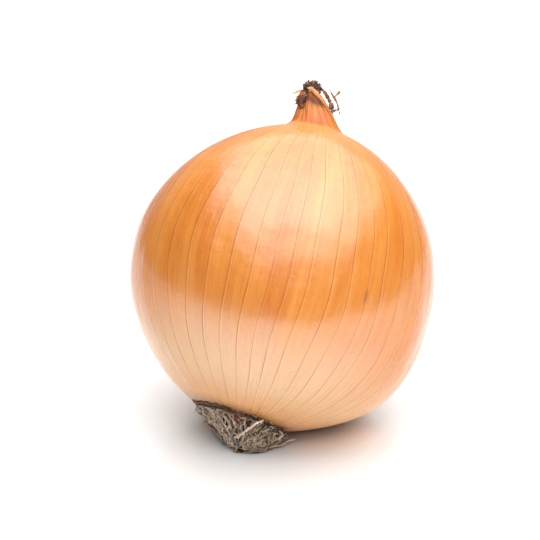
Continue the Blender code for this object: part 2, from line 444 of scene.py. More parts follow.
def add_inputs(group, inputs):
    """Gives a node group inputs of these names, with these values until they are given others."""
    for label, value in inputs.items():
        kind = SOCKET_KINDS[type(value)]
        socket = group.interface.new_socket(label, in_out="INPUT", socket_type=kind)
        if value is not None:
            socket.default_value = value


def shader_group(name, output, **inputs):
    """An empty shader node group and its inner ends: (group, inputs' sockets, output node)."""
    group = bpy.data.node_groups.new(name, "ShaderNodeTree")
    add_inputs(group, {label.capitalize(): value for label, value in inputs.items()})
    group.interface.new_socket(output, in_out="OUTPUT", socket_type="NodeSocketFloat")
    return group, group.nodes.new("NodeGroupInput").outputs, group.nodes.new("NodeGroupOutput")


def shared_group(name, build):
    """The node group of this name, built the first time it is wanted."""
    return bpy.data.node_groups.get(name) or build(name)


def use_group(tree, group, **inputs):
    """Places a node group; its inputs are given by their names in lower case."""
    labels = {label.capitalize(): value for label, value in inputs.items()}
    return result(tree, "ShaderNodeGroup", labels, node_tree=group)


def build_streaks(name):
    """Noise drawn out along the grain: Width is in mm, Length is how many widths long it is."""
    origin = (0.0, 0.0, 0.0)
    group, given, leave = shader_group(name, "Streaks", grain=origin, width=1.0, length=1.0, seed=0.0)
    per_width = calc(group, "DIVIDE", 1.0, given["Width"])
    per_length = calc(group, "DIVIDE", per_width, given["Length"])
    scale = vector_of(group, per_width, per_width, per_length)
    place = vector_calc(group, "MULTIPLY", given["Grain"], scale)
    moved = vector_calc(group, "ADD", place, given["Seed"])
    group.links.new(noise_at(group, moved, 1.0), leave.inputs[0])
    return group


def build_mottle(name):
    """Soft blotches through the object: Size is in mm."""
    group, given, leave = shader_group(name, "Blotches", size=1.0, seed=0.0)
    place = add_node(group, "ShaderNodeTexCoord").outputs["Object"]
    scale = calc(group, "DIVIDE", 1 / MM, given["Size"])
    moved = vector_calc(group, "ADD", stretch(group, place, scale), given["Seed"])
    group.links.new(noise_at(group, moved, 1.0, detail=3.0), leave.inputs[0])
    return group


def build_vein_line(name):
    """1 on a line beside each vein: Side is how far from the vein, and Width its width, in mm."""
    group, given, leave = shader_group(name, "Line", vein=(0.0, 0.0, 0.0), side=0.0, width=1.0)
    across, deep, gore_width = split(group, given["Vein"])
    turn = calc(group, "ARCTAN2", deep, across)
    beside = times(group, calc(group, "DIVIDE", turn, math.tau), gore_width)
    away = calc(group, "ABSOLUTE", minus(group, beside, given["Side"]))
    group.links.new(remap(group, away, given["Width"], 0.0), leave.inputs[0])
    return group


def streaks(tree, grain, width, length, seed=0.0):
    group = shared_group("paper streaks", build_streaks)
    return use_group(tree, group, grain=grain, width=width, length=length, seed=seed)


def mottle(tree, size, seed=0.0):
    return use_group(tree, shared_group("mottle", build_mottle), size=size, seed=seed)


def vein_line(tree, vein, side, width):
    group = shared_group("vein line", build_vein_line)
    return use_group(tree, group, vein=vein, side=side, width=width)


def new_material(name, **values):
    """A material with its shader's uniform values set: (material, tree, shader)."""
    material = bpy.data.materials.new(name)
    material.use_nodes = True
    shader = material.node_tree.nodes["Principled BSDF"]
    for label, value in values.items():
        shader.inputs[label.replace("_", " ")].default_value = value
    return material, material.node_tree, shader


def add_bump(tree, shader, height, distance):
    """Relief in the finish: distance is its depth in mm where the height is 1."""
    bump = result(tree, "ShaderNodeBump", {"Height": height, "Distance": distance * MM})
    tree.links.new(bump, shader.inputs["Normal"])


# ---- settings --------------------------------------------------------------------------------


def colour_property(name, description, default):
    return FloatVectorProperty(
        name=name, description=description, default=default, subtype="COLOR", min=0, max=1
    )


def amount_property(name, description, default, **kind):
    return FloatProperty(name=name, description=description, default=default, **kind)


class OnionSkinSettings(bpy.types.PropertyGroup):
    """The papery skin."""

    skin_colour: colour_property("Skin", "Base colour of the papery skin", (0.448, 0.134, 0.0155))
    golden_colour: colour_property("Golden", "Lighter streaks", (0.50, 0.176, 0.026))
    # paler skin near the root end, which also stands in for painted reflection of the floor
    pale_colour: colour_property("Pale", "Thin skin near the root end", (0.535, 0.33, 0.16))
    vein_colour: colour_property("Veins", "Fine lines from root to neck", (0.20, 0.050, 0.012))
    neck_colour: colour_property("Neck", "Dry skin of the neck", (0.38, 0.098, 0.014))
    seat_colour: colour_property("Seat", "Skin round the root seat", (0.22, 0.10, 0.03))
    vein_count: IntProperty(name="Veins", description="Veins round the bulb", default=44, min=8)
    facet_share: amount_property(
        "Flatness", "How flat the skin is between two veins", 0.5, subtype="FACTOR", min=0, max=1
    )


class OnionRootSettings(bpy.types.PropertyGroup):
    """The root tuft."""

    root_colour: colour_property("Dry roots", "Matted dry roots", (0.21, 0.155, 0.110))
    lone_colour: colour_property("Lone roots", "Roots clear of the mat", (0.30, 0.225, 0.165))
    pale_colour: colour_property("Pale roots", "Stout pale roots", (0.44, 0.335, 0.24))
    tan_colour: colour_property("Tan roots", "The root under the bulb", (0.38, 0.27, 0.18))
    grit_colour: colour_property("Grit", "Short broken roots", (0.185, 0.120, 0.072))
    core_colour: colour_property("Core", "Dirt and shade under the roots", (0.030, 0.018, 0.012))
    fibre_density: amount_property("Density", "Fibres on a square metre of the mat", 6.2e5, min=0)
    fibre_radius: amount_property("Fibre radius", "Of one matted root", 0.00023, unit="LENGTH")
    fibre_length: amount_property("Fibre length", "Of a long matted root", 0.0085, unit="LENGTH")


class OnionNeckSettings(bpy.types.PropertyGroup):
    """The dry scraps at the neck and at the root seat."""

    dark_colour: colour_property("Dark skin", "Withered skin", (0.080, 0.022, 0.017))
    brown_colour: colour_property("Brown skin", "Torn brown skin", (0.26, 0.085, 0.025))
    pale_colour: colour_property("Pale skin", "Thin pale scraps", (0.50, 0.32, 0.18))
    hood_colour: colour_property("Hood", "The fold over the neck's tip", (0.48, 0.185, 0.055))
    mould_colour: colour_property("Mould", "Mouldy bits of skin", (0.045, 0.038, 0.028))
    twig_colour: colour_property("Twig", "The fork's branch", (0.27, 0.16, 0.085))
    dark_twig_colour: colour_property("Dark twig", "The fork and its foot", (0.17, 0.070, 0.032))
    stub_colour: colour_property("Leaf stub", "Withered leaf bases", (0.055, 0.040, 0.025))
    stub_skin_colour: colour_property("Stub skin", "Skin on the leaf bases", (0.15, 0.055, 0.025))
    rim_colour: colour_property("Seat rim", "Torn rim of the root seat", (0.075, 0.026, 0.014))
    tan_colour: colour_property("Tan flakes", "Dust on the seat's rim", (0.30, 0.165, 0.080))


class OnionStageSettings(bpy.types.PropertyGroup):
    """The floor, lights and camera."""

    softbox_light: amount_property("Softbox", "Radiance of the overhead softbox", 3.55, min=0)
    backdrop_light: amount_property("Backdrop", "Radiance of the wall behind", 0.45, min=0)
    fill_light: amount_property("Fill", "Radiance of the fill light beside the camera", 3.5, min=0)
    skin_bounce: amount_property("Bounce", "Radiance of the warm light under the cheek", 0.4, min=0)
    room_light: amount_property("Room", "Radiance of the rest of the room", 0.1, min=0)
    floor_radius: amount_property("Floor", "Of the white floor", 0.45, unit="LENGTH", min=0.1)
    camera_turn: amount_property("Azimuth", "Of the camera", math.radians(26.8), subtype="ANGLE")
    camera_rise: amount_property("Elevation", "Of the camera", math.radians(20), subtype="ANGLE")
    camera_reach: amount_property("Distance", "Of the camera", 0.7, unit="LENGTH", min=0.1)
    lens: amount_property("Lens", "Focal length", 182.5, unit="CAMERA")


# ---- stage -----------------------------------------------------------------------------------

AIM_RIGHT, AIM_UP = -3.07, 2.05  # mm from the bulb's centre to the middle of the view
SENSOR_WIDTH = 36
FLOOR_DROP = 0.03  # mm by which the floor lies below the surface that the onion rests on
FLOOR_TO_EYE, FLOOR_TO_ROOM = (0.62, 0.62, 0.62), (0.93, 0.93, 0.93)
BOUNCE_COLOUR = (1.0, 0.37, 0.15)


def camera_axes(settings):
    """Unit vectors of the camera: to its right, upwards and backwards."""
    turn, rise = settings.camera_turn, settings.camera_rise
    right = Vector((math.cos(turn), math.sin(turn), 0))
    level = Vector((math.sin(turn), -math.cos(turn), 0))
    back = level * math.cos(rise) + Vector((0, 0, math.sin(rise)))
    return right, back.cross(right), back


def aim(thing, place, target):
    thing.location = place
    thing.rotation_mode = "QUATERNION"
    thing.rotation_quaternion = (Vector(target) - Vector(place)).to_track_quat("-Z", "Y")


def add_camera(settings):
    right, up, back = camera_axes(settings)
    target = Vector(PLACE) * MM + right * AIM_RIGHT * MM + up * AIM_UP * MM
    camera = bpy.data.objects.new("camera", bpy.data.cameras.new("camera"))
    camera.data.sensor_width = SENSOR_WIDTH
    camera.data.lens = settings.lens
    camera.data.clip_start = 0.01
    bpy.context.scene.collection.objects.link(camera)
    aim(camera, target + back * settings.camera_reach, target)
    bpy.context.scene.camera = camera


def add_area_light(name, place, rotation, width, depth, radiance):
    """A rectangular light that looks along its own -Z and that the camera doesn't see."""
    lamp = bpy.data.lights.new(name, "AREA")
    lamp.shape = "RECTANGLE"
    lamp.size = width
    lamp.size_y = depth
    lamp.energy = radiance * math.pi * width * depth
    light = bpy.data.objects.new(name, lamp)
    light.location = place
    light.rotation_euler = rotation
    light.visible_camera = False
    bpy.context.scene.collection.objects.link(light)
    return light


def add_lights(settings):
    """A softbox above, a dim wall behind, a fill light, and warm light thrown down by the skin."""
    right, _, back = camera_axes(settings)
    level, up = Vector((back.x, back.y, 0)).normalized(), Vector((0, 0, 1))
    turn = settings.camera_turn
    facing_down, facing_back = (0, 0, turn), (math.pi / 2, 0, turn + math.pi)
    softbox = 0.5 * settings.softbox_light
    outer = right * 0.22 - level * 0.18 + up * 0.7
    add_area_light("softbox", outer, facing_down, 1.46, 2.2, softbox)
    inner = right * 0.12 - level * 0.44 + up * 0.69
    add_area_light("softbox core", inner, facing_down, 1.05, 1.68, softbox)
    wall = up * 0.45 - level * 1.3
    add_area_light("wall", wall, facing_back, 2.6, 1.2, settings.backdrop_light)
    beside = level * 0.6 + right * 0.12 + up * 0.65
    fill = add_area_light("fill", beside, (0, 0, 0), 0.8, 0.8, settings.fill_light)
    aim(fill, beside, (0, 0, 0.03))
    fill.visible_glossy = False
    cheek = right * 0.0075 + level * 0.014 + up * 0.004
    glow = add_area_light("skin bounce", cheek, facing_down, 0.036, 0.014, settings.skin_bounce)
    glow.data.color = BOUNCE_COLOUR
    glow.visible_glossy = False


def add_floor(settings):
    place = (0, 0, -FLOOR_DROP * MM)
    bpy.ops.mesh.primitive_circle_add(
        vertices=FLOOR_CORNERS, radius=settings.floor_radius, fill_type="NGON", location=place
    )
    floor = bpy.context.object
    floor.name = "floor"
    material, tree, shader = new_material("floor white", IOR=1.7, Roughness=0.3)
    seen = add_node(tree, "ShaderNodeLightPath").outputs["Is Camera Ray"]
    tree.links.new(mix(tree, seen, FLOOR_TO_ROOM, FLOOR_TO_EYE), shader.inputs["Base Color"])
    floor.data.materials.append(material)


def set_world(settings):
    """White where the camera sees it, and a dim room for everything else."""
    world = bpy.data.worlds.new("studio")
    world.use_nodes = True
    tree = world.node_tree
    tree.nodes.clear()
    dim, white = (
        result(tree, "ShaderNodeBackground", {0: (1, 1, 1, 1), 1: light})
        for light in (settings.room_light, 1.0)
    )
    seen = add_node(tree, "ShaderNodeLightPath").outputs["Is Camera Ray"]
    both = result(tree, "ShaderNodeMixShader", {0: seen, 1: dim, 2: white})
    add_node(tree, "ShaderNodeOutputWorld", {0: both})
    bpy.context.scene.world = world


class ONION_OT_stage(bpy.types.Operator):
    """Sets up the camera, the white floor and the soft lights"""

    bl_idname = "onion.stage"
    bl_label = "Stage"

    def execute(self, context):
        settings = context.scene.onion_stage
        context.scene.view_settings.view_transform = "Standard"
        add_camera(settings)
        add_floor(settings)
        add_lights(settings)
        set_world(settings)
        return {"FINISHED"}


# ---- the papery skin -------------------------------------------------------------------------


def vein_angles(count):
    """Where the veins run round the bulb: evenly spaced but for a little jitter, 0 to tau."""
    steps = 1 + np.random.default_rng(VEIN_SEED).uniform(-0.24, 0.24, count)
    edges = np.concatenate([[0], np.cumsum(steps)])
    return edges / edges[-1] * math.tau


def vein_phase(around, along, count):
    """Counts the veins round the bulb: a whole number on each one. They wander a little."""
    wander = 0.010 * np.sin(0.09 * along + 3 * np.cos(around))
    wander += 0.006 * np.sin(0.23 * along + 5 * np.sin(around))
    turned = np.mod(around + wander, math.tau)
    return np.interp(turned, vein_angles(count), np.arange(count + 1))


def gore_shape(phase, width, flatness):
    """How far the skin between two veins lies below a true circle, in mm."""
    gore = np.floor(phase).astype(int)
    chances = np.random.default_rng(GORE_SEED).uniform(0.35, 1.15, gore.max() + 2)
    across = 2 * (phase - gore) - 1
    angle = width / BULB_RADIUS
    return -flatness * chances[gore] * BULB_RADIUS * (angle / 2) ** 2 / 2 * (1 - across**2)


def vein_heights(phase, along, count):
    """Each vein stands a little high or low, so the skin between two veins tilts its own way."""
    vein = np.arange(count + 1)[:, None] % count
    steps = np.linspace(0, VEIN_REACH, VEIN_STEPS)
    spots = np.stack(np.broadcast_arrays(9.13 * vein + 0.4, steps / 26, 0.3), -1)
    heights = smooth_noise(spots, 1.0)
    gore = np.clip(np.floor(phase).astype(int), 0, count - 1)
    share = phase - gore
    place = np.clip(along / VEIN_REACH * (VEIN_STEPS - 1), 0, VEIN_STEPS - 1.01)
    row = place.astype(int)
    rest = place - row

    def height_of(line):
        return heights[line, row] * (1 - rest) + heights[line, row + 1] * rest

    return height_of(gore) * (1 - share) + height_of(gore + 1) * share


def neck_folds(around, share, depth):
    """Lengthwise folds of the dry neck, in mm below its cone."""
    rng = np.random.default_rng(FOLD_SEED)
    total = np.zeros(np.broadcast(around, share).shape)
    for _ in range(FOLD_COUNT):
        middle, drift = rng.uniform(0, math.tau), rng.uniform(-0.5, 0.5)
        deep, width = rng.uniform(0.25, 1.0), rng.uniform(0.035, 0.10)
        away = np.angle(np.exp(1j * (around - middle - drift * share)))
        total -= deep * np.exp(-((away / width) ** 2))
    return depth * total


def body_rings(settings):
    """The bulb's rings: their points, vein count so far, gore width and way along the skin."""
    around, share = full_circle(SKIN_AROUND), unit_rows(BODY_RINGS)
    start, end = seat_angle(around), math.radians(NECK_ANGLE)
    polar = start + (end - start) * share
    along = SKIN_LENGTH * share + 0 * around
    phase = vein_phase(around + 0 * share, along, settings.vein_count)
    width = math.tau * BULB_RADIUS * np.sin(polar) / settings.vein_count
    flat = gore_shape(phase, width, settings.facet_share)
    spots = ring_spots(1, around, 2.2 * share)
    swell = 0.30 * smooth_noise(spots, 0.5) + 0.26 * smooth_noise(spots, 0.31, 9.0)
    swell += 0.07 * smooth_noise(spots * (1, 1, 0.3), 0.16, 5.0)
    swell += 0.13 * vein_heights(phase, along, settings.vein_count)
    rise = smooth_step(share, 0.95, 1.0) * neck_folds(around, share - 1, 0.06)
    return skin_point(polar, around, flat + swell * np.sin(polar) + rise), phase, width, along


def neck_rings(settings):
    """The neck's rings, given as the bulb's are."""
    around, climb = full_circle(SKIN_AROUND), unit_rows(NECK_RINGS) ** 1.25
    height = NECK_FOOT + climb * (NECK_TOP - NECK_FOOT) + 0 * around
    folds = neck_folds(around, climb, 0.06 + 0.20 * smooth_step(climb, 0, 0.5))
    hollow = smooth_step(height, 43.0, 46.5) * (1 - smooth_step(height, 48.3, 49.2))
    points = neck_point(height, around, folds - 0.55 * hump(around, 275, 34) * hollow)
    phase = vein_phase(around + 0 * climb, SKIN_LENGTH, settings.vein_count)
    width = math.tau * neck_radius(height) / settings.vein_count
    return points, phase, width, SKIN_LENGTH + NECK_STEP + (height - NECK_FOOT)


def skin_grid(settings):
    """Rings of the skin from the root seat to the neck's tip, with the grain and vein of each."""
    pairs = zip(body_rings(settings), neck_rings(settings))
    points, phase, width, along = (np.concatenate(pair) for pair in pairs)
    grain = ring_spots(BULB_RADIUS, full_circle(SKIN_AROUND), along)
    vein = ring_spots(1, math.tau * phase, width)
    return points, grain, vein


def closeness(points, first, last, reach):
    """1 on the line between two points, falling smoothly to 0 away from it."""
    first, last = np.array(first), np.array(last)
    along = last - first
    share = np.clip((points - first) @ along / (along @ along), 0, 1)
    away = np.linalg.norm(points - first - share[..., None] * along, axis=-1)
    return np.exp(-((away / reach) ** 2))


def skin_stains_and_shade(points):
    """Where the skin has painted dark purple shade under the hood, where it is red, and where it is
    dark brown: 0 to 1.
    """
    kinds = (HOOD_SHADE_LINES, RED_STAINS, BROWN_STAINS)
    masks = [sum(closeness(points, *stain_and_shade) for stain_and_shade in kind) for kind in kinds]
    return np.minimum(np.stack(masks, -1), 1)


def close_ends(points, grain, vein, low, high):
    """Faces of the rings, closed with a fan to a point at each end."""
    rings, count = points.shape[:2]
    faces = grid_faces(rings, count, wrap=True)
    last, bottom, top = (rings - 1) * count, rings * count, rings * count + 1
    for step in range(count):
        after = (step + 1) % count
        faces.append((after, step, bottom))
        faces.append((last + step, last + after, top))
    places = np.concatenate([points.reshape(-1, 3), [low, high]])
    grains, veins = (
        np.concatenate([layer.reshape(-1, 3), layer[0, :1], layer[-1, :1]]) for layer in (grain, vein)
    )
    return places, faces, grains, veins


# shades laid over the skin's own colours; among them are a painted highlight beside the veins, painted
# light on the shoulder and painted shade under the neck's hood
AMBER_STREAK = (0.56, 0.24, 0.05)
RUSSET_STREAK = (0.43, 0.11, 0.012)
RUST_FIBRE = (0.42, 0.10, 0.014)
STRAW_RIPPLE = (0.68, 0.28, 0.07)
RIDGE_HIGHLIGHT = (0.82, 0.44, 0.15)
LOW_VEIN = (0.42, 0.14, 0.035)
SHOULDER_TONE_AND_LIGHT = (0.55, 0.25, 0.07)
NECK_GOLD = (0.47, 0.19, 0.03)
NECK_RED = (0.45, 0.072, 0.022)
NECK_FOLD = (0.22, 0.065, 0.015)
NECK_BROWN = (0.13, 0.045, 0.018)
NECK_HOOD_SHADE = (0.085, 0.014, 0.010)


def skin_marks(tree):
    """What the skin's colour, gloss and height share: its streaks, veins, stains and neck."""
    grain, vein = attribute(tree, "grain"), attribute(tree, "vein")
    along = split(tree, grain)[2]
    low = remap(tree, along, 26.0, 8.0)
    worn = remap(tree, streaks(tree, grain, 3.0, 5.0, 2.0), 0.35, 0.65, 0.5, 0.9)
    strength = plus(tree, worn, times(tree, low, 0.1))
    # What the skin's colour, gloss and height share: its streaks, veins, stains, painted highlight and
    # shade, and neck.
    return SimpleNamespace(
        grain=grain,
        along=along,
        low=low,
        wide=streaks(tree, grain, 7.0, 5.0),
        middle=streaks(tree, grain, 1.3, 22.0, 3.0),
        fine=streaks(tree, grain, 0.35, 40.0, 9.0),
        across=streaks(tree, grain, 1.6, 0.16, 5.0),
        dark_line=times(tree, vein_line(tree, vein, 0.0, 0.21), strength),
        # painted highlight: a light line beside each vein, where its raised ridge would catch the light
        ridge_highlight_line=vein_line(tree, vein, 0.34, 0.26),
        neck=remap(tree, along, 100.6, 102.2),
        stain_and_shade=split(tree, attribute(tree, "stain_and_shade")),
    )


def bulb_colour(tree, marks, settings):
    """Streaked orange, paler towards the root seat (partly painted reflection of the floor), with a
    dark line on each vein and a painted highlight beside it.
    """
    wide = remap(tree, marks.wide, 0.32, 0.68)
    colour = mix(tree, wide, settings.skin_colour, settings.golden_colour)
    colour = tint(tree, colour, AMBER_STREAK, marks.middle, 0.5, 0.75, 0.35)
    colour = tint(tree, colour, RUSSET_STREAK, marks.middle, 0.5, 0.25, 0.22)
    colour = tint(tree, colour, RUST_FIBRE, marks.fine, 0.5, 0.8, 0.3)
    colour = tint(tree, colour, STRAW_RIPPLE, marks.across, 0.5, 0.8, 0.16)
    thin = plus(tree, marks.along, times(tree, marks.wide, 8.0))
    # paler towards the root end: partly the thinner skin's own tone, partly painted reflection of the
    # white floor
    colour = tint(tree, colour, settings.pale_colour, thin, 42.0, 18.0, 0.85)
    colour = tint(tree, colour, settings.golden_colour, marks.along, 15.0, 3.0, 0.45)
    # painted highlight beside each vein, standing in for light caught by its ridge
    colour = mix(tree, times(tree, marks.ridge_highlight_line, 0.16), colour, RIDGE_HIGHLIGHT)
    colour = mix(tree, marks.dark_line, colour, mix(tree, marks.low, settings.vein_colour, LOW_VEIN))
    edge = plus(tree, marks.along, times(tree, marks.middle, -7.0))
    colour = tint(tree, colour, settings.seat_colour, edge, 2.0, -3.4, 0.8)
    # paler shoulder below the neck: partly the skin's own tone, partly painted light over the shade
    # there
    return tint(tree, colour, SHOULDER_TONE_AND_LIGHT, marks.along, 84.0, 99.0, 0.5)


def neck_colour(tree, marks, settings):
    """Dry brown skin in folds, red at its foot, with brown patches, and painted dark purple shade under
    the hood's lip.
    """
    patches = streaks(tree, marks.grain, 5.0, 3.0, 7.0)
    lines = streaks(tree, marks.grain, 2.4, 7.0, 8.0)
    purple, red, brown = marks.stain_and_shade
    colour = mix(tree, remap(tree, patches, 0.38, 0.62), settings.neck_colour, NECK_GOLD)
    colour = mix(tree, times(tree, red, remap(tree, patches, 0.7, 0.3, 0.6, 1.0)), colour, NECK_RED)
    colour = tint(tree, colour, NECK_FOLD, lines, 0.48, 0.66, 0.85)
    colour = mix(tree, times(tree, brown, 0.8), colour, NECK_BROWN)
    # painted shade under the hood's lip, dark purple
    return mix(tree, times(tree, purple, 0.95), colour, NECK_HOOD_SHADE)


def set_skin_gloss(tree, shader, marks):
    """Glossy on the bulb, less so along the veins and where it is seen edge on, dull on the neck."""
    rough = remap(tree, marks.middle, 0.3, 0.7, 0.26, 0.36)
    tree.links.new(plus(tree, rough, times(tree, marks.neck, 0.42)), shader.inputs["Roughness"])
    grazing = add_node(tree, "ShaderNodeLayerWeight", {"Blend": 0.5}).outputs["Facing"]
    gloss = remap(tree, grazing, 0.12, 0.58, 1.0, 0.27)
    tree.links.new(times(tree, gloss, 0.5), shader.inputs["Specular IOR Level"])
    gloss = times(tree, gloss, remap(tree, marks.neck, 0.0, 1.0, 1.0, 0.12))
    gloss = times(tree, gloss, minus(tree, 1.0, times(tree, marks.dark_line, 0.55)))
    tree.links.new(gloss, shader.inputs["Coat Weight"])


def skin_material(settings):
    """Dry papery skin: streaked orange with fine veins, glossy, browner at the seat and neck."""
    material, tree, shader = new_material(
        "papery skin", IOR=1.56, Coat_Roughness=0.19, Coat_IOR=1.64, Coat_Weight=1.0
    )
    marks = skin_marks(tree)
    bulb, neck = bulb_colour(tree, marks, settings), neck_colour(tree, marks, settings)
    colour = mix(tree, marks.neck, bulb, neck)
    scar = times(tree, marks.stain_and_shade[2], minus(tree, 1.0, marks.neck))
    colour = mix(tree, times(tree, scar, 0.75), colour, settings.vein_colour)
    tree.links.new(colour, shader.inputs["Base Color"])
    set_skin_gloss(tree, shader, marks)
    paper = ((marks.fine, 0.35), (marks.middle, 0.5), (marks.across, 0.35))
    height = weighted_sum(tree, *paper, (mottle(tree, 8.0), 10.0), (marks.dark_line, -0.3))
    add_bump(tree, shader, height, 0.07)
    return material


class ONION_OT_skin(bpy.types.Operator):
    """Builds the bulb's papery skin, drawn up into the dry neck"""

    bl_idname = "onion.skin"
    bl_label = "Papery skin"

    def execute(self, context):
        settings = context.scene.onion_skin
        points, grain, vein = skin_grid(settings)
        low = (0, 0, SEAT_MIDDLE + SEAT_HOLLOW)
        high = neck_point(np.array(NECK_TOP), 0.0, -neck_radius(NECK_TOP)) + (0, 0, NECK_CROWN)
        places, faces, grains, veins = close_ends(points, grain, vein, low, high)
        mesh = new_mesh("papery_skin", places, faces, grains)
        set_vectors(mesh, "vein", veins)
        set_vectors(mesh, "stain_and_shade", skin_stains_and_shade(places))
        add_piece("papery_skin", mesh, skin_material(settings), "skin", "bulb")
        return {"FINISHED"}


# ---- dry skin and root finishes --------------------------------------------------------------

# light dust, dark patches and least roughness of each kind of torn skin
SCRAP_LOOKS = {
    "withered skin": ((0.27, 0.11, 0.06), (0.016, 0.009, 0.009), 0.7),
    "brown skin": ((0.46, 0.19, 0.06), (0.07, 0.02, 0.012), 0.55),
    "pale skin": ((0.62, 0.43, 0.26), (0.30, 0.13, 0.05), 0.55),
    "hood skin": ((0.60, 0.31, 0.13), (0.30, 0.075, 0.020), 0.55),
    "mouldy skin": ((0.22, 0.15, 0.09), (0.015, 0.014, 0.012), 0.75),
    "twig": ((0.46, 0.32, 0.19), (0.07, 0.035, 0.02), 0.55),
    "dark twig": ((0.34, 0.17, 0.08), (0.035, 0.018, 0.012), 0.55),
    "leaf stub": ((0.20, 0.13, 0.07), (0.014, 0.011, 0.009), 0.7),
    "stub skin": ((0.36, 0.17, 0.07), (0.03, 0.014, 0.01), 0.7),
    "seat rim": ((0.16, 0.062, 0.028), (0.020, 0.010, 0.008), 0.55),
    "tan flakes": ((0.48, 0.32, 0.18), (0.055, 0.030, 0.018), 0.55),
}
# light dust and dark specks of each kind of root; on matted strands the dark one is also painted shade
# where they lie deep
ROOT_LOOKS = {
    "root core": ((0.09, 0.055, 0.035), (0.012, 0.007, 0.005)),
    "dry root": ((0.49, 0.375, 0.27), (0.04, 0.026, 0.018)),
    "lone root": ((0.44, 0.34, 0.25), (0.09, 0.06, 0.04)),
    "pale root": ((0.62, 0.50, 0.39), (0.20, 0.13, 0.085)),
    "tan root": ((0.58, 0.45, 0.33), (0.14, 0.08, 0.05)),
    "grit": ((0.38, 0.28, 0.185), (0.03, 0.018, 0.012)),
}


def scrap_material(name, base):
    """Torn dry skin: streaks along its grain, light edges of dust and dark withered patches."""
    light, dark, roughness = SCRAP_LOOKS[name]
    material, tree, shader = new_material(name, IOR=1.5)
    grain = attribute(tree, "grain")
    fine, wide = streaks(tree, grain, 0.3, 9.0), streaks(tree, grain, 1.1, 3.0, 4.0)
    colour = tint(tree, base, light, wide, 0.42, 0.66, 0.8)
    colour = tint(tree, colour, dark, fine, 0.48, 0.72, 0.8)
    colour = tint(tree, colour, dark, mottle(tree, 1.0), 0.52, 0.66, 0.75)
    tree.links.new(colour, shader.inputs["Base Color"])
    tree.links.new(remap(tree, wide, 0.3, 0.7, roughness, roughness + 0.25), shader.inputs["Roughness"])
    add_bump(tree, shader, plus(tree, fine, mottle(tree, 0.5, 3.0)), 0.22)
    return material


def root_material(name, base, shade_deep_strands=False):
    """Dry root: dusty and specked; a matted one gets painted shade on its strands that lie deep."""
    light, dark = ROOT_LOOKS[name]
    material, tree, shader = new_material(name, IOR=1.45, Sheen_Weight=0.15)
    speck, cloud = mottle(tree, 0.45), mottle(tree, 2.4, 6.0)
    colour = tint(tree, base, light, cloud, 0.38, 0.62)
    colour = tint(tree, colour, dark, speck, 0.5, 0.72, 0.75)
    if shade_deep_strands:
        lift = add_node(tree, "ShaderNodeAttribute", attribute_name="lift").outputs["Fac"]
        # painted shade: the strands that lie low in the mat are darkened
        colour = tint(tree, colour, dark, lift, 0.72, 0.25, 0.88)
    tree.links.new(colour, shader.inputs["Base Color"])
    tree.links.new(remap(tree, speck, 0.3, 0.7, 0.78, 0.95), shader.inputs["Roughness"])
    add_bump(tree, shader, speck, 0.10)
    return material


# ---- geometry trees --------------------------------------------------------------------------


def geometry_tree(name, inputs):
    """A geometry tree with these named inputs: (tree, inputs' sockets, output node)."""
    tree = bpy.data.node_groups.new(name, "GeometryNodeTree")
    for side in ("INPUT", "OUTPUT"):
        tree.interface.new_socket("Geometry", in_out=side, socket_type="NodeSocketGeometry")
    add_inputs(tree, inputs)
    return tree, tree.nodes.new("NodeGroupInput").outputs, tree.nodes.new("NodeGroupOutput")


def run_tree(name, mesh, tree, values):
    """Runs a geometry tree on a mesh and returns what it makes as a plain mesh."""
    carrier = bpy.data.objects.new(name, mesh)
    bpy.context.scene.collection.objects.link(carrier)
    modifier = carrier.modifiers.new("shape", "NODES")
    modifier.node_group = tree
    for item in tree.interface.items_tree:
        if item.name in values:
            modifier[item.identifier] = values[item.name]
    graph = bpy.context.evaluated_depsgraph_get()
    made = bpy.data.meshes.new_from_object(carrier.evaluated_get(graph))
    bpy.data.objects.remove(carrier)
    made.name = name
    return made


def position(tree):
    return result(tree, "GeometryNodeInputPosition")


def scatter(tree, given):
    """Points strewn over the tree's surface, and a rotation that stands each one upright."""
    inputs = {"Mesh": given["Geometry"], "Density": given["Density"], "Seed": given["Seed"]}
    strewn = add_node(tree, "GeometryNodeDistributePointsOnFaces", inputs)
    upwards = {"Vector": strewn.outputs[1]}
    return strewn.outputs[0], result(tree, "FunctionNodeAlignRotationToVector", upwards, axis="Z")


def random_number(tree, low, high, seed, step):
    """A random number for each point; steps tell a tree's numbers apart."""
    inputs = {2: low, 3: high, "Seed": plus(tree, seed, step)}
    return add_node(tree, "FunctionNodeRandomValue", inputs, data_type="FLOAT").outputs[1]


def random_angle(tree, reach, seed, step):
    return random_number(tree, times(tree, reach, -1.0), reach, seed, step)


def rotate(tree, rotation, axis, angle):
    """A rotation turned on about its own axis."""
    turn = result(tree, "FunctionNodeAxisAngleToRotation", {"Axis": axis, "Angle": angle})
    inputs = {0: rotation, 1: turn}
    return result(tree, "FunctionNodeRotateRotation", inputs, rotation_space="LOCAL")


def copy_to(tree, points, shape, rotation, size):
    """A real copy of the shape on each point."""
    inputs = {"Points": points, "Instance": shape, "Rotation": rotation, "Scale": size}
    copies = result(tree, "GeometryNodeInstanceOnPoints", inputs)
    return result(tree, "GeometryNodeRealizeInstances", {0: copies})


def move(tree, shape, **inputs):
    """Moves every point of the shape to a Position, or by an Offset."""
    return result(tree, "GeometryNodeSetPosition", {0: shape, **inputs})


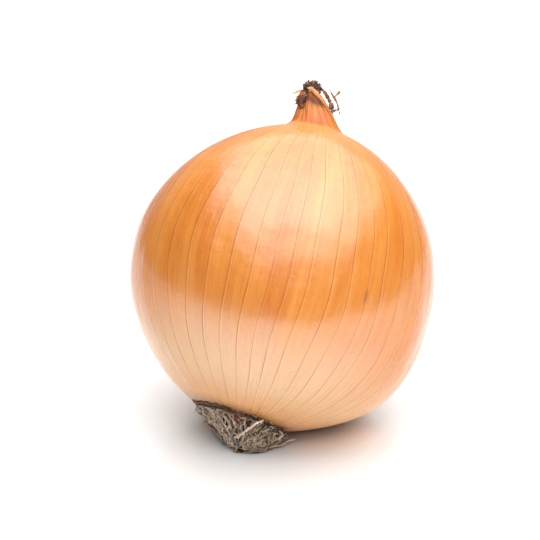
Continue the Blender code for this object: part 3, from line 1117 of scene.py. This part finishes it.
def wriggle(tree, place, size, reach):
    """An offset that bends a strand: noise of this size in metres, up to reach."""
    scaled = stretch(tree, place, calc(tree, "DIVIDE", 1.0, size))
    node = add_node(tree, "ShaderNodeTexNoise", {"Vector": scaled, "Scale": 1.0, "Detail": 1.0})
    centred = vector_calc(tree, "SUBTRACT", node.outputs["Color"], (0.5, 0.5, 0.5))
    return stretch(tree, centred, reach)


def keep_above(tree, place, least):
    """A place held at least this high above the surface that the onion rests on."""
    across, deep, tall = split(tree, place)
    return vector_of(tree, across, deep, calc(tree, "MAXIMUM", tall, least))


def tubes(tree, curves, radius, sides):
    circle = result(tree, "GeometryNodeCurvePrimitiveCircle", {"Resolution": sides, "Radius": 1.0})
    inputs = {0: curves, 1: circle, "Scale": radius, "Fill Caps": True}
    return result(tree, "GeometryNodeCurveToMesh", inputs)


def finish_tree(tree, shape, material, leave):
    """Smooths the shape, makes its copies real and sets their material."""
    smooth = result(tree, "GeometryNodeSetShadeSmooth", {0: shape})
    real = result(tree, "GeometryNodeRealizeInstances", {0: smooth})
    last = result(tree, "GeometryNodeSetMaterial", {0: real, "Material": material})
    tree.links.new(last, leave.inputs[0])


def strewn_strands(tree, given):
    """Straight lines strewn over the surface that flow from the apex, each tagged with its lift."""
    points, upright = scatter(tree, given)
    seed = given["Seed"]
    height = random_number(tree, 0.0, 1.0, seed, 5.0)
    tagged = result(
        tree,
        "GeometryNodeStoreNamedAttribute",
        {0: points, "Name": "lift", "Value": height},
        data_type="FLOAT",
        domain="POINT",
    )
    outwards = vector_calc(tree, "SUBTRACT", position(tree), given["Apex"])
    inputs = {"Rotation": upright, "Vector": outwards}
    flowing = result(tree, "FunctionNodeAlignRotationToVector", inputs, axis="X", pivot_axis="Z")
    turned = rotate(tree, flowing, (0, 0, 1), random_angle(tree, given["Spread"], seed, 11.0))
    line = result(tree, "GeometryNodeCurvePrimitiveLine", {0: (-0.5, 0, 0), 1: (0.5, 0, 0)})
    strand = result(tree, "GeometryNodeResampleCurve", {0: line, "Count": 8})
    length = times(tree, given["Length"], random_number(tree, 0.35, 1.0, seed, 17.0))
    return copy_to(tree, tagged, strand, turned, length)


def laid_place(tree, given):
    """The place on the surface nearest to each point, raised by the strand's own lift."""
    place, surface = position(tree), given["Geometry"]
    nearest = result(tree, "GeometryNodeProximity", {0: surface}, target_element="FACES")
    inputs = {"Mesh": surface, "Value": result(tree, "GeometryNodeInputNormal")}
    facing = result(tree, "GeometryNodeSampleNearestSurface", inputs, data_type="FLOAT_VECTOR")
    lift = result(tree, "GeometryNodeInputNamedAttribute", {"Name": "lift"}, data_type="FLOAT")
    ripple = remap(tree, noise_at(tree, place, 450.0, 1.0), 0.3, 0.8)
    rise = times(tree, plus(tree, lift, ripple), given["Lift"])
    clear = plus(tree, rise, times(tree, given["Radius"], 0.4))
    raised = vector_calc(tree, "ADD", nearest, stretch(tree, facing, clear))
    return keep_above(tree, raised, given["Radius"])


def build_fibre_tree(name):
    """Curled strands strewn over a surface, each hugging it at its own height."""
    inputs = {
        "Density": 1.0e6,
        "Length": 0.008,
        "Radius": 0.0003,
        "Curl": 0.004,
        "Curl size": 0.003,
        "Spread": 0.9,
        "Lift": 0.001,
        "Apex": (0.0, 0.0, 0.0),
        "Seed": 1,
        "Material": None,
    }
    tree, given, leave = geometry_tree(name, inputs)
    place = position(tree)
    bend = wriggle(tree, place, given["Curl size"], given["Curl"])
    curled = move(tree, strewn_strands(tree, given), Offset=bend)
    laid = move(tree, curled, Position=laid_place(tree, given))
    share = result(tree, "GeometryNodeSplineParameter")
    taper = minus(tree, 1.0, times(tree, calc(tree, "POWER", share, 2.0), 0.45))
    knots = remap(tree, noise_at(tree, place, 1400.0, 1.0), 0.3, 0.7, 0.7, 1.25)
    thick = times(tree, times(tree, given["Radius"], taper), knots)
    finish_tree(tree, tubes(tree, laid, thick, 5), given["Material"], leave)
    return tree


def build_flake_tree(name):
    """Small crumpled flakes strewn over a surface, each lying on it at its own tilt."""
    inputs = {
        "Density": 1.0e6,
        "Size": 0.001,
        "Thinness": 0.14,
        "Crumple": 0.0004,
        "Tilt": 0.5,
        "Seed": 1,
        "Material": None,
    }
    tree, given, leave = geometry_tree(name, inputs)
    points, upright = scatter(tree, given)
    seed = given["Seed"]
    turn = rotate(tree, upright, (0, 0, 1), random_number(tree, 0.0, math.tau, seed, 3.0))
    turn = rotate(tree, turn, (1, 0, 0), random_angle(tree, given["Tilt"], seed, 7.0))
    corners = {"Vertices X": 4, "Vertices Y": 3, "Vertices Z": 2}
    shape = vector_of(tree, 1.0, 0.65, given["Thinness"])
    flake = result(tree, "GeometryNodeMeshCube", {"Size": shape, **corners})
    size = times(tree, given["Size"], random_number(tree, 0.45, 1.0, seed, 13.0))
    strewn = copy_to(tree, points, flake, turn, size)
    place = position(tree)
    bent = wriggle(tree, place, times(tree, given["Size"], 0.7), given["Crumple"])
    kept = keep_above(tree, vector_calc(tree, "ADD", place, bent), 0.03 * MM)
    finish_tree(tree, move(tree, strewn, Position=kept), given["Material"], leave)
    return tree


def build_strand_tree(name):
    """One root along a line of edges: a beaded tube that thins towards its end."""
    inputs = {
        "Radius": 0.0004,
        "End share": 0.5,
        "Beads": 0.15,
        "Bead length": 0.0007,
        "Wobble": 0.0004,
        "Points": 60,
        "Sides": 10,
        "Material": None,
    }
    tree, given, leave = geometry_tree(name, inputs)
    curve = result(tree, "GeometryNodeMeshToCurve", {0: given["Geometry"]})
    dense = result(tree, "GeometryNodeResampleCurve", {0: curve, "Count": given["Points"]})
    place = position(tree)
    bent = move(tree, dense, Offset=wriggle(tree, place, 0.0022, given["Wobble"]))
    spline = add_node(tree, "GeometryNodeSplineParameter").outputs
    along = calc(tree, "DIVIDE", spline["Length"], given["Bead length"])
    uneven = plus(tree, along, times(tree, noise_at(tree, place, 500.0), 2.0))
    bead = calc(tree, "SINE", times(tree, uneven, math.tau))
    swollen = plus(tree, 1.0, times(tree, bead, given["Beads"]))
    squared = calc(tree, "POWER", spline["Factor"], 2.0)
    taper = minus(tree, 1.0, times(tree, squared, minus(tree, 1.0, given["End share"])))
    radius = times(tree, times(tree, given["Radius"], taper), swollen)
    finish_tree(tree, tubes(tree, bent, radius, given["Sides"]), given["Material"], leave)
    return tree


def add_strand(name, route, material, slot, values, *nodes):
    """Adds one beaded strand along a route, as a piece that stands for these nodes."""
    line = bpy.data.meshes.new(name + " line")
    edges = [(step, step + 1) for step in range(len(route) - 1)]
    line.from_pydata(to_world(route), edges, [])
    tree = shared_group("beaded root", build_strand_tree)
    mesh = run_tree(name, line, tree, {**values, "Material": material})
    add_piece(name, mesh, material, slot, *nodes)


def strew_fibres(name, base, material, values):
    """Lays fibres that flow from the tuft's middle over a mesh, and adds them as one piece."""
    apex = to_world(mat_point(np.array(0.0), 0.0)[None])[0]
    tree = shared_group("root fibres", build_fibre_tree)
    values = {**values, "Apex": tuple(apex), "Material": material}
    add_piece(name, run_tree(name, base, tree, values), material, "dry_root")


def strew_flakes(name, grid, material, values, wrap=False):
    """Strews flakes of dark skin over a grid of points and adds them as one piece."""
    base = new_mesh(name + " base", grid, grid_faces(*grid.shape[:2], wrap))
    tree = shared_group("flakes", build_flake_tree)
    mesh = run_tree(name, base, tree, {**values, "Material": material})
    add_piece(name, mesh, material, "dark_skin")


# ---- the root tuft ---------------------------------------------------------------------------


def mat_sheet(rings, count, lift=0.0):
    """A grid over the root tuft's outer face, from its middle to its edge."""
    share = np.linspace(1, 0.02, rings)[:, None]
    points = mat_point(share, full_circle(count) + 0 * share)
    rough = smooth_noise(points, 1.6) * 0.35 + smooth_noise(points, 0.7, 3.0) * 0.15
    points[..., 2] -= rough * (1 - share**4) + lift
    return points[::-1]


def mat_core_mesh():
    """The dark, lumpy mat under the roots, closed under the seat."""
    points = mat_sheet(*MAT_GRID)
    inner = (0, 0, SEAT_MIDDLE + SEAT_HOLLOW - GAP)
    tip = mat_point(np.array(0.0), 0.0)
    places, faces, grains, _ = close_ends(points, points, points, tip, inner)
    return face_outwards(new_mesh("root_mat_core", places, faces, grains))


class ONION_OT_root_mat(bpy.types.Operator):
    """Builds the mat of dried roots: a dark core under hundreds of curled fibres"""

    bl_idname = "onion.root_mat"
    bl_label = "Root mat"

    def execute(self, context):
        settings = context.scene.onion_roots
        core = root_material("root core", settings.core_colour)
        add_piece("root_mat_core", mat_core_mesh(), core, "dry_root", "root_mat")
        surface = mat_sheet(*FIBRE_GRID, lift=-0.7)
        faces = grid_faces(*FIBRE_GRID, wrap=True)
        base = face_outwards(new_mesh("mat surface", surface, faces))
        values = {
            "Density": settings.fibre_density,
            "Length": settings.fibre_length,
            "Radius": settings.fibre_radius,
            "Lift": 0.0011,
            "Curl": 0.0026,
            "Spread": 0.6,
        }
        fibres = root_material("dry root", settings.root_colour, shade_deep_strands=True)
        strew_fibres("root_fibres", base, fibres, values)
        return {"FINISHED"}


def root_route(number):
    """One root that stands clear of the mat, from its middle to its edge: (route, thickness)."""
    first, last = (math.radians(angle) for angle in ROOT_FAN)
    middle = first + (last - first) * number / (ROOT_COUNT - 1)
    lower = 0.25 * max(0.0, math.sin(middle + math.radians(ROLL)))
    start = 0.34 + 0.3 * abs(math.sin(3.1 * number)) + lower
    reach = 0.95 + 0.05 * math.sin(1.7 * number)
    thick = ROOT_THICK * (1 + 0.14 * math.sin(2.3 * number))
    along = np.linspace(0, 1, ROOT_POINTS)
    around = middle + 0.07 * np.sin(math.tau * along + number)
    off_the_mat = ring_spots(0.57, around, -0.82)
    share = start + (reach - start) * along
    return mat_point(share, around) + off_the_mat * (thick + 1.15 * GAP), thick


LONE_ROOT = {"Beads": 0.12, "Wobble": 0.0022}
STOUT_ROOT = {"End share": 0.8, "Beads": 0.3, "Bead length": 0.0010, "Wobble": 0.0007, "Points": 90}
ROOT_HAIR = {"Radius": 0.07 * MM, "Beads": 0.1, "Wobble": 0.0006, "Points": 24, "Sides": 6}
ROOT_HAIR_ANGLES = (200, 207, 213)  # degrees round the seat


def root_hair_route(number, around):
    """A fine hair that hangs from the mat's edge, longer with each number."""
    start = mat_point(np.array(0.97), math.radians(around))
    drop = -TURN[2] * (2.6 + 0.7 * number) + 0.5 * TURN[0] * (number - 2)
    return smooth_route([start, start + 0.45 * drop + 0.25 * TURN[0], start + drop], HAIR_POINTS)


class ONION_OT_single_roots(bpy.types.Operator):
    """Builds the roots that stand clear of the mat, its fine hairs and the two roots that leave it"""

    bl_idname = "onion.single_roots"
    bl_label = "Single roots"

    def execute(self, context):
        settings = context.scene.onion_roots
        dry = root_material("lone root", settings.lone_colour)
        pale = root_material("pale root", settings.pale_colour)
        tan = root_material("tan root", settings.tan_colour)
        for number in range(ROOT_COUNT):
            node = f"root_{number + 1:02d}"
            route, thick = root_route(number)
            values = {**LONE_ROOT, "Radius": 0.8 * thick * MM}
            add_strand("curled_" + node, route, dry, "dry_root", values, node)
        for number, around in enumerate(ROOT_HAIR_ANGLES, 1):
            route = root_hair_route(number, around)
            add_strand(f"root_hair_{number}", route, dry, "dry_root", ROOT_HAIR)
        leaving = {"long_root": (LONG_ROOT, 0.31, pale), "trailing_root": (TRAILING_ROOT, 0.28, tan)}
        for node, (corners, thick, material) in leaving.items():
            values = {**STOUT_ROOT, "Radius": thick * MM}
            route = smooth_route(corners, ROOT_POINTS)
            add_strand("beaded_" + node, route, material, "pale_root", values, node)
        return {"FINISHED"}


# ---- the root seat ---------------------------------------------------------------------------


def collar_grids():
    """Two grids and the grain for the torn rim of skin that stands up round the root seat."""
    rows, columns = COLLAR_GRID
    around, row = full_circle(columns), unit_rows(rows)
    ring = ring_spots(1, around, 0)
    jag = smooth_noise(ring, 0.035) * 0.5 + smooth_noise(ring, 0.11, 2.0) * 0.7
    tall = np.clip(0.5 + 0.9 * jag, 0.05, 1.8)
    low = -1.5 - 1.3 * hump(around, 232, 14)
    reach = low + row * (tall - low)
    polar = seat_angle(around) + reach / BULB_RADIUS
    spots = ring_spots(1, around, reach * 0.04)
    crumple = 0.22 * smooth_noise(spots, 0.035) + 0.12 * smooth_noise(spots, 0.09, 3.0)
    off = 0.12 + 0.16 * (1 - row) + np.abs(crumple)
    outer, inner = (skin_point(polar, around, off + side) for side in (0.06, -0.10))
    return outer, inner, ring_spots(12, around, reach)


def rim_band(low, high, first, last):
    """A band of the skin beside the root seat, from low to high mm past its edge, as a grid."""
    rows, columns = RIM_GRID
    around = arc(first, last, columns)
    reach = np.linspace(low, high, rows)[:, None]
    return skin_point(seat_angle(around) + reach / BULB_RADIUS, around, 0.2)


def mat_patch(grid, inside, first, last, lift):
    """Part of the root tuft's face from a share of its radius to its edge, raised, as a grid."""
    rows, columns = grid
    share = np.linspace(inside, 1.0, rows)[:, None]
    around = arc(first, last, columns)
    patch = mat_point(share + 0 * around, around + 0 * share)
    patch[..., 2] -= lift
    return patch


def flap_grids(first, last, deep, lift):
    """Two grids and the grain for a torn flap of skin that hangs over the root mat."""
    rows, columns = FLAP_GRID
    side = np.linspace(0, 1, columns)[None, :]
    around = np.radians(first + (last - first) * side)
    row = unit_rows(rows)
    ring = ring_spots(8, around, 0)
    torn = deep * np.clip(np.sin(math.pi * side) ** 0.6 + 0.5 * smooth_noise(ring, 0.9), 0.12, 1.3)
    points = mat_point(1.03 - row * torn, around + 0 * row)
    crumple = 0.3 * smooth_noise(points, 1.1) + 0.15 * smooth_noise(points, 0.5, 2.0)
    points[..., 2] -= lift * smooth_step(row, 0, 0.35) + crumple
    return points, points + (0, 0, 0.16), ring_spots(8, around, 10 * row * torn)


RIM_FLAKES = {"Density": 6.5e5, "Size": 0.0011, "Crumple": 0.0005, "Tilt": 0.7, "Seed": 4}
RIM_DUST = {**RIM_FLAKES, "Density": 1.1e6, "Size": 0.0009, "Seed": 9}
RUST_FLAKES = {**RIM_FLAKES, "Density": 1.3e6, "Seed": 6}
ROOT_GRIT = {
    "Density": 2.6e6,
    "Length": 0.0026,
    "Radius": 0.0002,
    "Lift": 0.0009,
    "Curl": 0.0016,
    "Curl size": 0.0012,
    "Spread": 1.3,
    "Seed": 2,
}


class ONION_OT_seat_collar(bpy.types.Operator):
    """Builds the dark torn rim of skin round the root seat, with its flakes and grit"""

    bl_idname = "onion.seat_collar"
    bl_label = "Seat collar"

    def execute(self, context):
        settings = context.scene.onion_neck
        rust = scrap_material("seat rim", settings.rim_colour)
        tan = scrap_material("tan flakes", settings.tan_colour)
        grit = root_material("grit", context.scene.onion_roots.grit_colour, shade_deep_strands=True)
        collar = sheet_mesh("seat_collar", *collar_grids(), wrap=True)
        add_piece("seat_collar", collar, rust, "dark_skin")
        strew_flakes("rim_flakes", rim_band(-1.0, 0.9, 180, 262), rust, RIM_FLAKES)
        strew_flakes("rim_dust", rim_band(-0.9, 1.1, 250, 400), tan, RIM_DUST)
        flap = sheet_mesh("torn_flap", *flap_grids(238, 270, 0.26, 1.0))
        add_piece("torn_flap", flap, rust, "dark_skin")
        strew_flakes("rust_flakes", mat_patch(RUST_GRID, 0.76, 238, 272, 1.0), rust, RUST_FLAKES)
        patch = mat_patch(GRIT_GRID, 0.42, 276, 372, 0.4)
        faces = grid_faces(*GRIT_GRID, wrap=False)
        strew_fibres("root_grit", face_outwards(new_mesh("grit base", patch, faces)), grit, ROOT_GRIT)
        return {"FINISHED"}


# ---- the neck's tip --------------------------------------------------------------------------


def strip_frame(route, rows, turn):
    """A strip's middle line, and beside each of its points the way across and the way it faces."""
    line = smooth_route(route, rows)
    ahead = np.gradient(line, axis=0)
    ahead /= np.linalg.norm(ahead, axis=1)[:, None]
    front = np.array((0, -1.0, 0))
    facing = front - ahead * (ahead @ front)[:, None]
    facing /= np.linalg.norm(facing, axis=1)[:, None]
    turned = facing * math.cos(turn) + np.cross(ahead, facing) * math.sin(turn)
    return line, np.cross(ahead, turned), turned


def strip_grids(route, widths, thickness, turn, curl=0.0, ragged=0.12, rows=40):
    """Two grids and the grain for a torn strip along a route; curl bends it across its width."""
    line, side, facing = strip_frame(route, rows, turn)
    place = np.linspace(0, len(widths) - 1, rows)
    width = np.interp(place, np.arange(len(widths)), widths)
    across = np.linspace(-1, 1, STRIP_COLUMNS)[None, :]
    spots = np.stack(np.broadcast_arrays(place * 3, 0, thickness), -1)
    half = (width / 2 + ragged * smooth_noise(spots, 0.4))[:, None] * across
    bow = curl * (across**2 - 0.4) * width[:, None]
    spots = np.stack(np.broadcast_arrays(place[:, None] * 1.5, half, 0), -1)
    ruck = 0.12 * smooth_noise(spots, 0.35, 4.0)
    middle = line[:, None, :] + side[:, None, :] * half[..., None]
    middle = middle + facing[:, None, :] * (bow + ruck)[..., None]
    depth = facing[:, None, :] * thickness / 2
    length = np.concatenate([[0], np.cumsum(np.linalg.norm(np.diff(line, axis=0), axis=1))])
    grain = np.stack(np.broadcast_arrays(half, 0, length[:, None]), -1)
    return middle + depth, middle - depth, grain


# Each strip's finish, thickness, turn, curl and raggedness, and its widths and route in mm.
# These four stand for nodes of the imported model.
NODE_STRIPS = {
    "neck_curl_left": dict(
        finish="withered skin", thickness=0.16, turn=0.4, curl=-0.3, ragged=0.5,
        widths=[0.9, 1.7, 1.9, 0.9],
        route=[(-4.8, -3.2, 47.4), (-5.6, -3.4, 46.2), (-5.9, -3.4, 44.9), (-5.1, -3.9, 43.7)],
    ),
    "neck_wisp_left": dict(
        finish="pale skin", slot="pale_skin", thickness=0.09, turn=0.3, curl=0.15,
        widths=[0.9, 0.9, 0.6, 0.1],
        route=[(-5.9, -1.3, 48.0), (-6.8, -1.4, 48.2), (-7.8, -1.4, 47.5), (-8.7, -1.3, 47.0)],
    ),
    "neck_strip_right": dict(
        finish="withered skin", thickness=0.14, turn=-0.5, curl=-0.25, ragged=0.55,
        widths=[0.5, 0.7, 1.0, 1.5, 0.8],
        route=[
            (-1.7, -0.6, 50.5),
            (-0.3, -0.7, 49.4),
            (1.1, -0.8, 47.9),
            (2.1, -0.9, 46.5),
            (2.0, -0.9, 45.4),
        ],
    ),
    "neck_fork_right": dict(
        finish="dark twig", thickness=0.22, turn=0.2, ragged=0.25,
        widths=[0.2, 0.35, 0.4, 0.4, 0.5, 0.35, 0.25],
        route=[
            (4.8, 0.3, 44.9),
            (4.2, 0.3, 45.8),
            (3.7, 0.4, 47.0),
            (2.9, 0.4, 48.2),
            (2.1, 0.5, 49.1),
            (1.3, 0.5, 49.9),
            (0.6, 0.6, 50.8),
        ],
    ),
}
LOOSE_STRIPS = {
    "hood": dict(
        finish="hood skin", slot="skin", thickness=0.24, turn=0.0, curl=-0.3, ragged=0.2, rows=80,
        widths=[0.7, 1.2, 1.4, 1.05, 0.85, 0.7, 0.55, 0.15],
        route=[
            (-5.9, -1.9, 46.6),
            (-5.3, -2.1, 48.0),
            (-4.2, -1.9, 49.2),
            (-2.9, -2.4, 48.6),
            (-1.7, -3.1, 47.6),
            (-0.3, -3.3, 46.4),
            (1.2, -3.2, 44.9),
            (2.3, -2.4, 43.4),
        ],
    ),
    "bits_left": dict(
        finish="mouldy skin", thickness=0.12, turn=0.3, curl=0.3, ragged=0.6,
        widths=[0.4, 1.0, 1.1, 0.5],
        route=[(-6.3, -1.9, 47.6), (-5.9, -2.2, 48.4), (-5.1, -2.5, 48.6), (-4.6, -2.7, 47.8)],
    ),
    "scrap_left": dict(
        finish="brown skin", slot="pale_skin", thickness=0.12, turn=0.2, curl=-0.2, ragged=0.4,
        widths=[1.0, 1.2, 0.9, 0.2],
        route=[(-5.3, -1.9, 48.7), (-5.9, -2.2, 47.9), (-6.5, -2.3, 47.0), (-7.3, -2.2, 46.1)],
    ),
    "curl_back": dict(
        finish="brown skin", thickness=0.14, turn=-0.4, curl=0.3, ragged=0.5,
        widths=[0.6, 1.2, 1.3, 0.5],
        route=[(-6.0, -2.4, 46.9), (-6.6, -2.5, 45.9), (-6.6, -2.6, 44.8), (-5.7, -3.0, 43.6)],
    ),
    "stub_tail": dict(
        finish="withered skin", thickness=0.16, turn=0.3, curl=0.25, ragged=0.5,
        widths=[0.9, 1.2, 1.0, 0.4],
        route=[(-2.6, -0.8, 51.4), (-2.2, -1.0, 50.4), (-1.9, -1.1, 49.6), (-1.5, -1.1, 48.9)],
    ),
    "strip_top": dict(
        finish="brown skin", thickness=0.12, turn=0.3, curl=0.2, ragged=0.4,
        widths=[0.4, 0.8, 0.8, 0.2],
        route=[(-2.0, -0.9, 50.4), (-0.9, -1.0, 49.7), (0.2, -1.1, 48.8), (0.9, -1.1, 47.9)],
    ),
    "fork_branch": dict(
        finish="twig", thickness=0.3, turn=0.2, ragged=0.2,
        widths=[0.3, 0.45, 0.6, 0.75],
        route=[(2.2, 0.3, 49.0), (2.6, 0.2, 49.7), (3.0, 0.2, 50.3), (3.2, 0.1, 50.9)],
    ),
    "fork_foot": dict(
        finish="dark twig", thickness=0.25, turn=0.0, ragged=0.3,
        widths=[1.0, 0.7, 0.5, 0.3],
        route=[(2.2, -0.4, 44.5), (2.7, -0.1, 45.3), (3.2, 0.1, 45.7), (4.1, 0.3, 46.1)],
    ),
}
NECK_HAIR = {"Radius": 0.09 * MM, "Beads": 0.1, "Wobble": 0.0004, "Points": 20, "Sides": 6}
NECK_HAIR_ROUTES = [
    [(-6.2, -2.7, 45.9), (-7.0, -2.6, 45.6), (-7.5, -2.5, 45.1), (-7.6, -2.5, 44.6)],
    [(-6.2, -2.8, 45.0), (-6.9, -2.7, 44.7), (-7.3, -2.6, 44.0), (-7.1, -2.6, 43.6)],
    [(-2.0, -0.8, 50.4), (-1.7, -0.8, 50.9), (-1.8, -0.8, 51.4)],
]


def add_strip(name, skins, *nodes, finish, slot="dark_skin", **shape):
    """Adds one torn strip in its finish, as a piece that stands for these nodes."""
    add_piece(name, sheet_mesh(name, *strip_grids(**shape)), skins[finish], slot, *nodes)


class ONION_OT_neck_scraps(bpy.types.Operator):
    """Builds the torn hood, strips and hairs of dry skin round the neck"""

    bl_idname = "onion.neck_scraps"
    bl_label = "Neck scraps"

    def execute(self, context):
        settings = context.scene.onion_neck
        colours = {
            "withered skin": settings.dark_colour,
            "brown skin": settings.brown_colour,
            "pale skin": settings.pale_colour,
            "hood skin": settings.hood_colour,
            "mouldy skin": settings.mould_colour,
            "twig": settings.twig_colour,
            "dark twig": settings.dark_twig_colour,
        }
        skins = {name: scrap_material(name, base) for name, base in colours.items()}
        for node, strip in NODE_STRIPS.items():
            add_strip("torn_" + node, skins, node, **strip)
        for name, strip in LOOSE_STRIPS.items():
            add_strip("torn_" + name, skins, **strip)
        for number, corners in enumerate(NECK_HAIR_ROUTES, 1):
            route = smooth_route(corners, HAIR_POINTS)
            add_strand(f"neck_hair_{number}", route, skins["brown skin"], "dark_skin", NECK_HAIR)
        return {"FINISHED"}


# radius and height in mm of each ring of leaf bases, from the innermost
LEAF_RINGS = [(0.5, 1.6), (1.0, 1.75), (1.4, 1.65), (1.75, 1.15)]
STUB_CRUMBS = {
    "Density": 2.2e6,
    "Size": 0.0008,
    "Crumple": 0.0006,
    "Tilt": 1.2,
    "Thinness": 0.25,
    "Seed": 5,
}
STUB_FLAKES = {**STUB_CRUMBS, "Density": 1.0e6, "Seed": 8}
CRUMB_ROWS, FLAKE_ROWS = 14, 10  # of the widest ring's grid, from its foot


def leaf_base_grids(ring, radius, tall):
    """Two grids and the grain for one crumpled ring of withered leaf bases."""
    foot = neck_point(np.array(NECK_TOP), 0.0, -neck_radius(NECK_TOP)) + (-0.5, 0, 0.25)
    rows, columns = LEAF_GRID
    around, row = full_circle(columns), unit_rows(rows)
    circle = ring_spots(1, around, 1.3 * row)
    level = circle * (1, 1, 0)
    jag = smooth_noise(level, 0.45, ring * 3.3) + smooth_noise(level, 0.14, ring)
    crumple = 0.5 * smooth_noise(circle, 0.5, ring * 7.7) + 0.16 * smooth_noise(circle, 0.14, ring)
    height = row * tall * np.clip(1 + 0.75 * jag, 0.3, 1.5)
    wide = radius * (1 + 0.1 * row) + crumple
    outer, inner = (
        foot + np.stack([size * np.cos(around), 0.8 * size * np.sin(around), height], -1)
        for size in (wide, wide - 0.2)
    )
    return outer, inner, ring_spots(radius, around, height)


class ONION_OT_leaf_stub(bpy.types.Operator):
    """Builds the withered leaf bases at the neck's tip as nested crumpled rings and crumbs"""

    bl_idname = "onion.leaf_stub"
    bl_label = "Leaf stub"

    def execute(self, context):
        settings = context.scene.onion_neck
        dark = scrap_material("leaf stub", settings.stub_colour)
        warm = scrap_material("stub skin", settings.stub_skin_colour)
        for ring, (radius, tall) in enumerate(LEAF_RINGS):
            name = f"leaf_base_{ring + 1}"
            grids = leaf_base_grids(ring, radius, tall)
            nodes = ("leaf_stub",) if ring == 0 else ()
            mesh = sheet_mesh(name, *grids, wrap=True)
            add_piece(name, mesh, dark if ring % 2 else warm, "dark_skin", *nodes)
        widest = grids[0]
        strew_flakes("stub_crumbs", widest[:CRUMB_ROWS], dark, STUB_CRUMBS, wrap=True)
        strew_flakes("stub_flakes", widest[:FLAKE_ROWS], warm, STUB_FLAKES, wrap=True)
        return {"FINISHED"}


# ---- panel and registration ------------------------------------------------------------------


STEPS = ("stage", "skin", "root_mat", "single_roots", "seat_collar", "neck_scraps", "leaf_stub")


class ONION_PT_panel(bpy.types.Panel):
    """Lists the steps that build the onion"""

    bl_idname = "ONION_PT_panel"
    bl_label = "Onion"
    bl_space_type = "VIEW_3D"
    bl_region_type = "UI"
    bl_category = "Onion"

    def draw(self, context):
        for step in STEPS:
            self.layout.operator("onion." + step)


SETTINGS = {
    "onion_skin": OnionSkinSettings,
    "onion_roots": OnionRootSettings,
    "onion_neck": OnionNeckSettings,
    "onion_stage": OnionStageSettings,
}
OPERATORS = (
    ONION_OT_stage,
    ONION_OT_skin,
    ONION_OT_root_mat,
    ONION_OT_single_roots,
    ONION_OT_seat_collar,
    ONION_OT_neck_scraps,
    ONION_OT_leaf_stub,
)


def register():
    for kind in (*SETTINGS.values(), *OPERATORS, ONION_PT_panel):
        bpy.utils.register_class(kind)
    for name, kind in SETTINGS.items():
        setattr(bpy.types.Scene, name, PointerProperty(type=kind))


def unregister():
    for name in SETTINGS:
        delattr(bpy.types.Scene, name)
    for kind in (ONION_PT_panel, *reversed(OPERATORS), *reversed(SETTINGS.values())):
        bpy.utils.unregister_class(kind)


def main():
    register()
    for step in STEPS:
        getattr(bpy.ops.onion, step)()


if __name__ == "__main__":
    main()
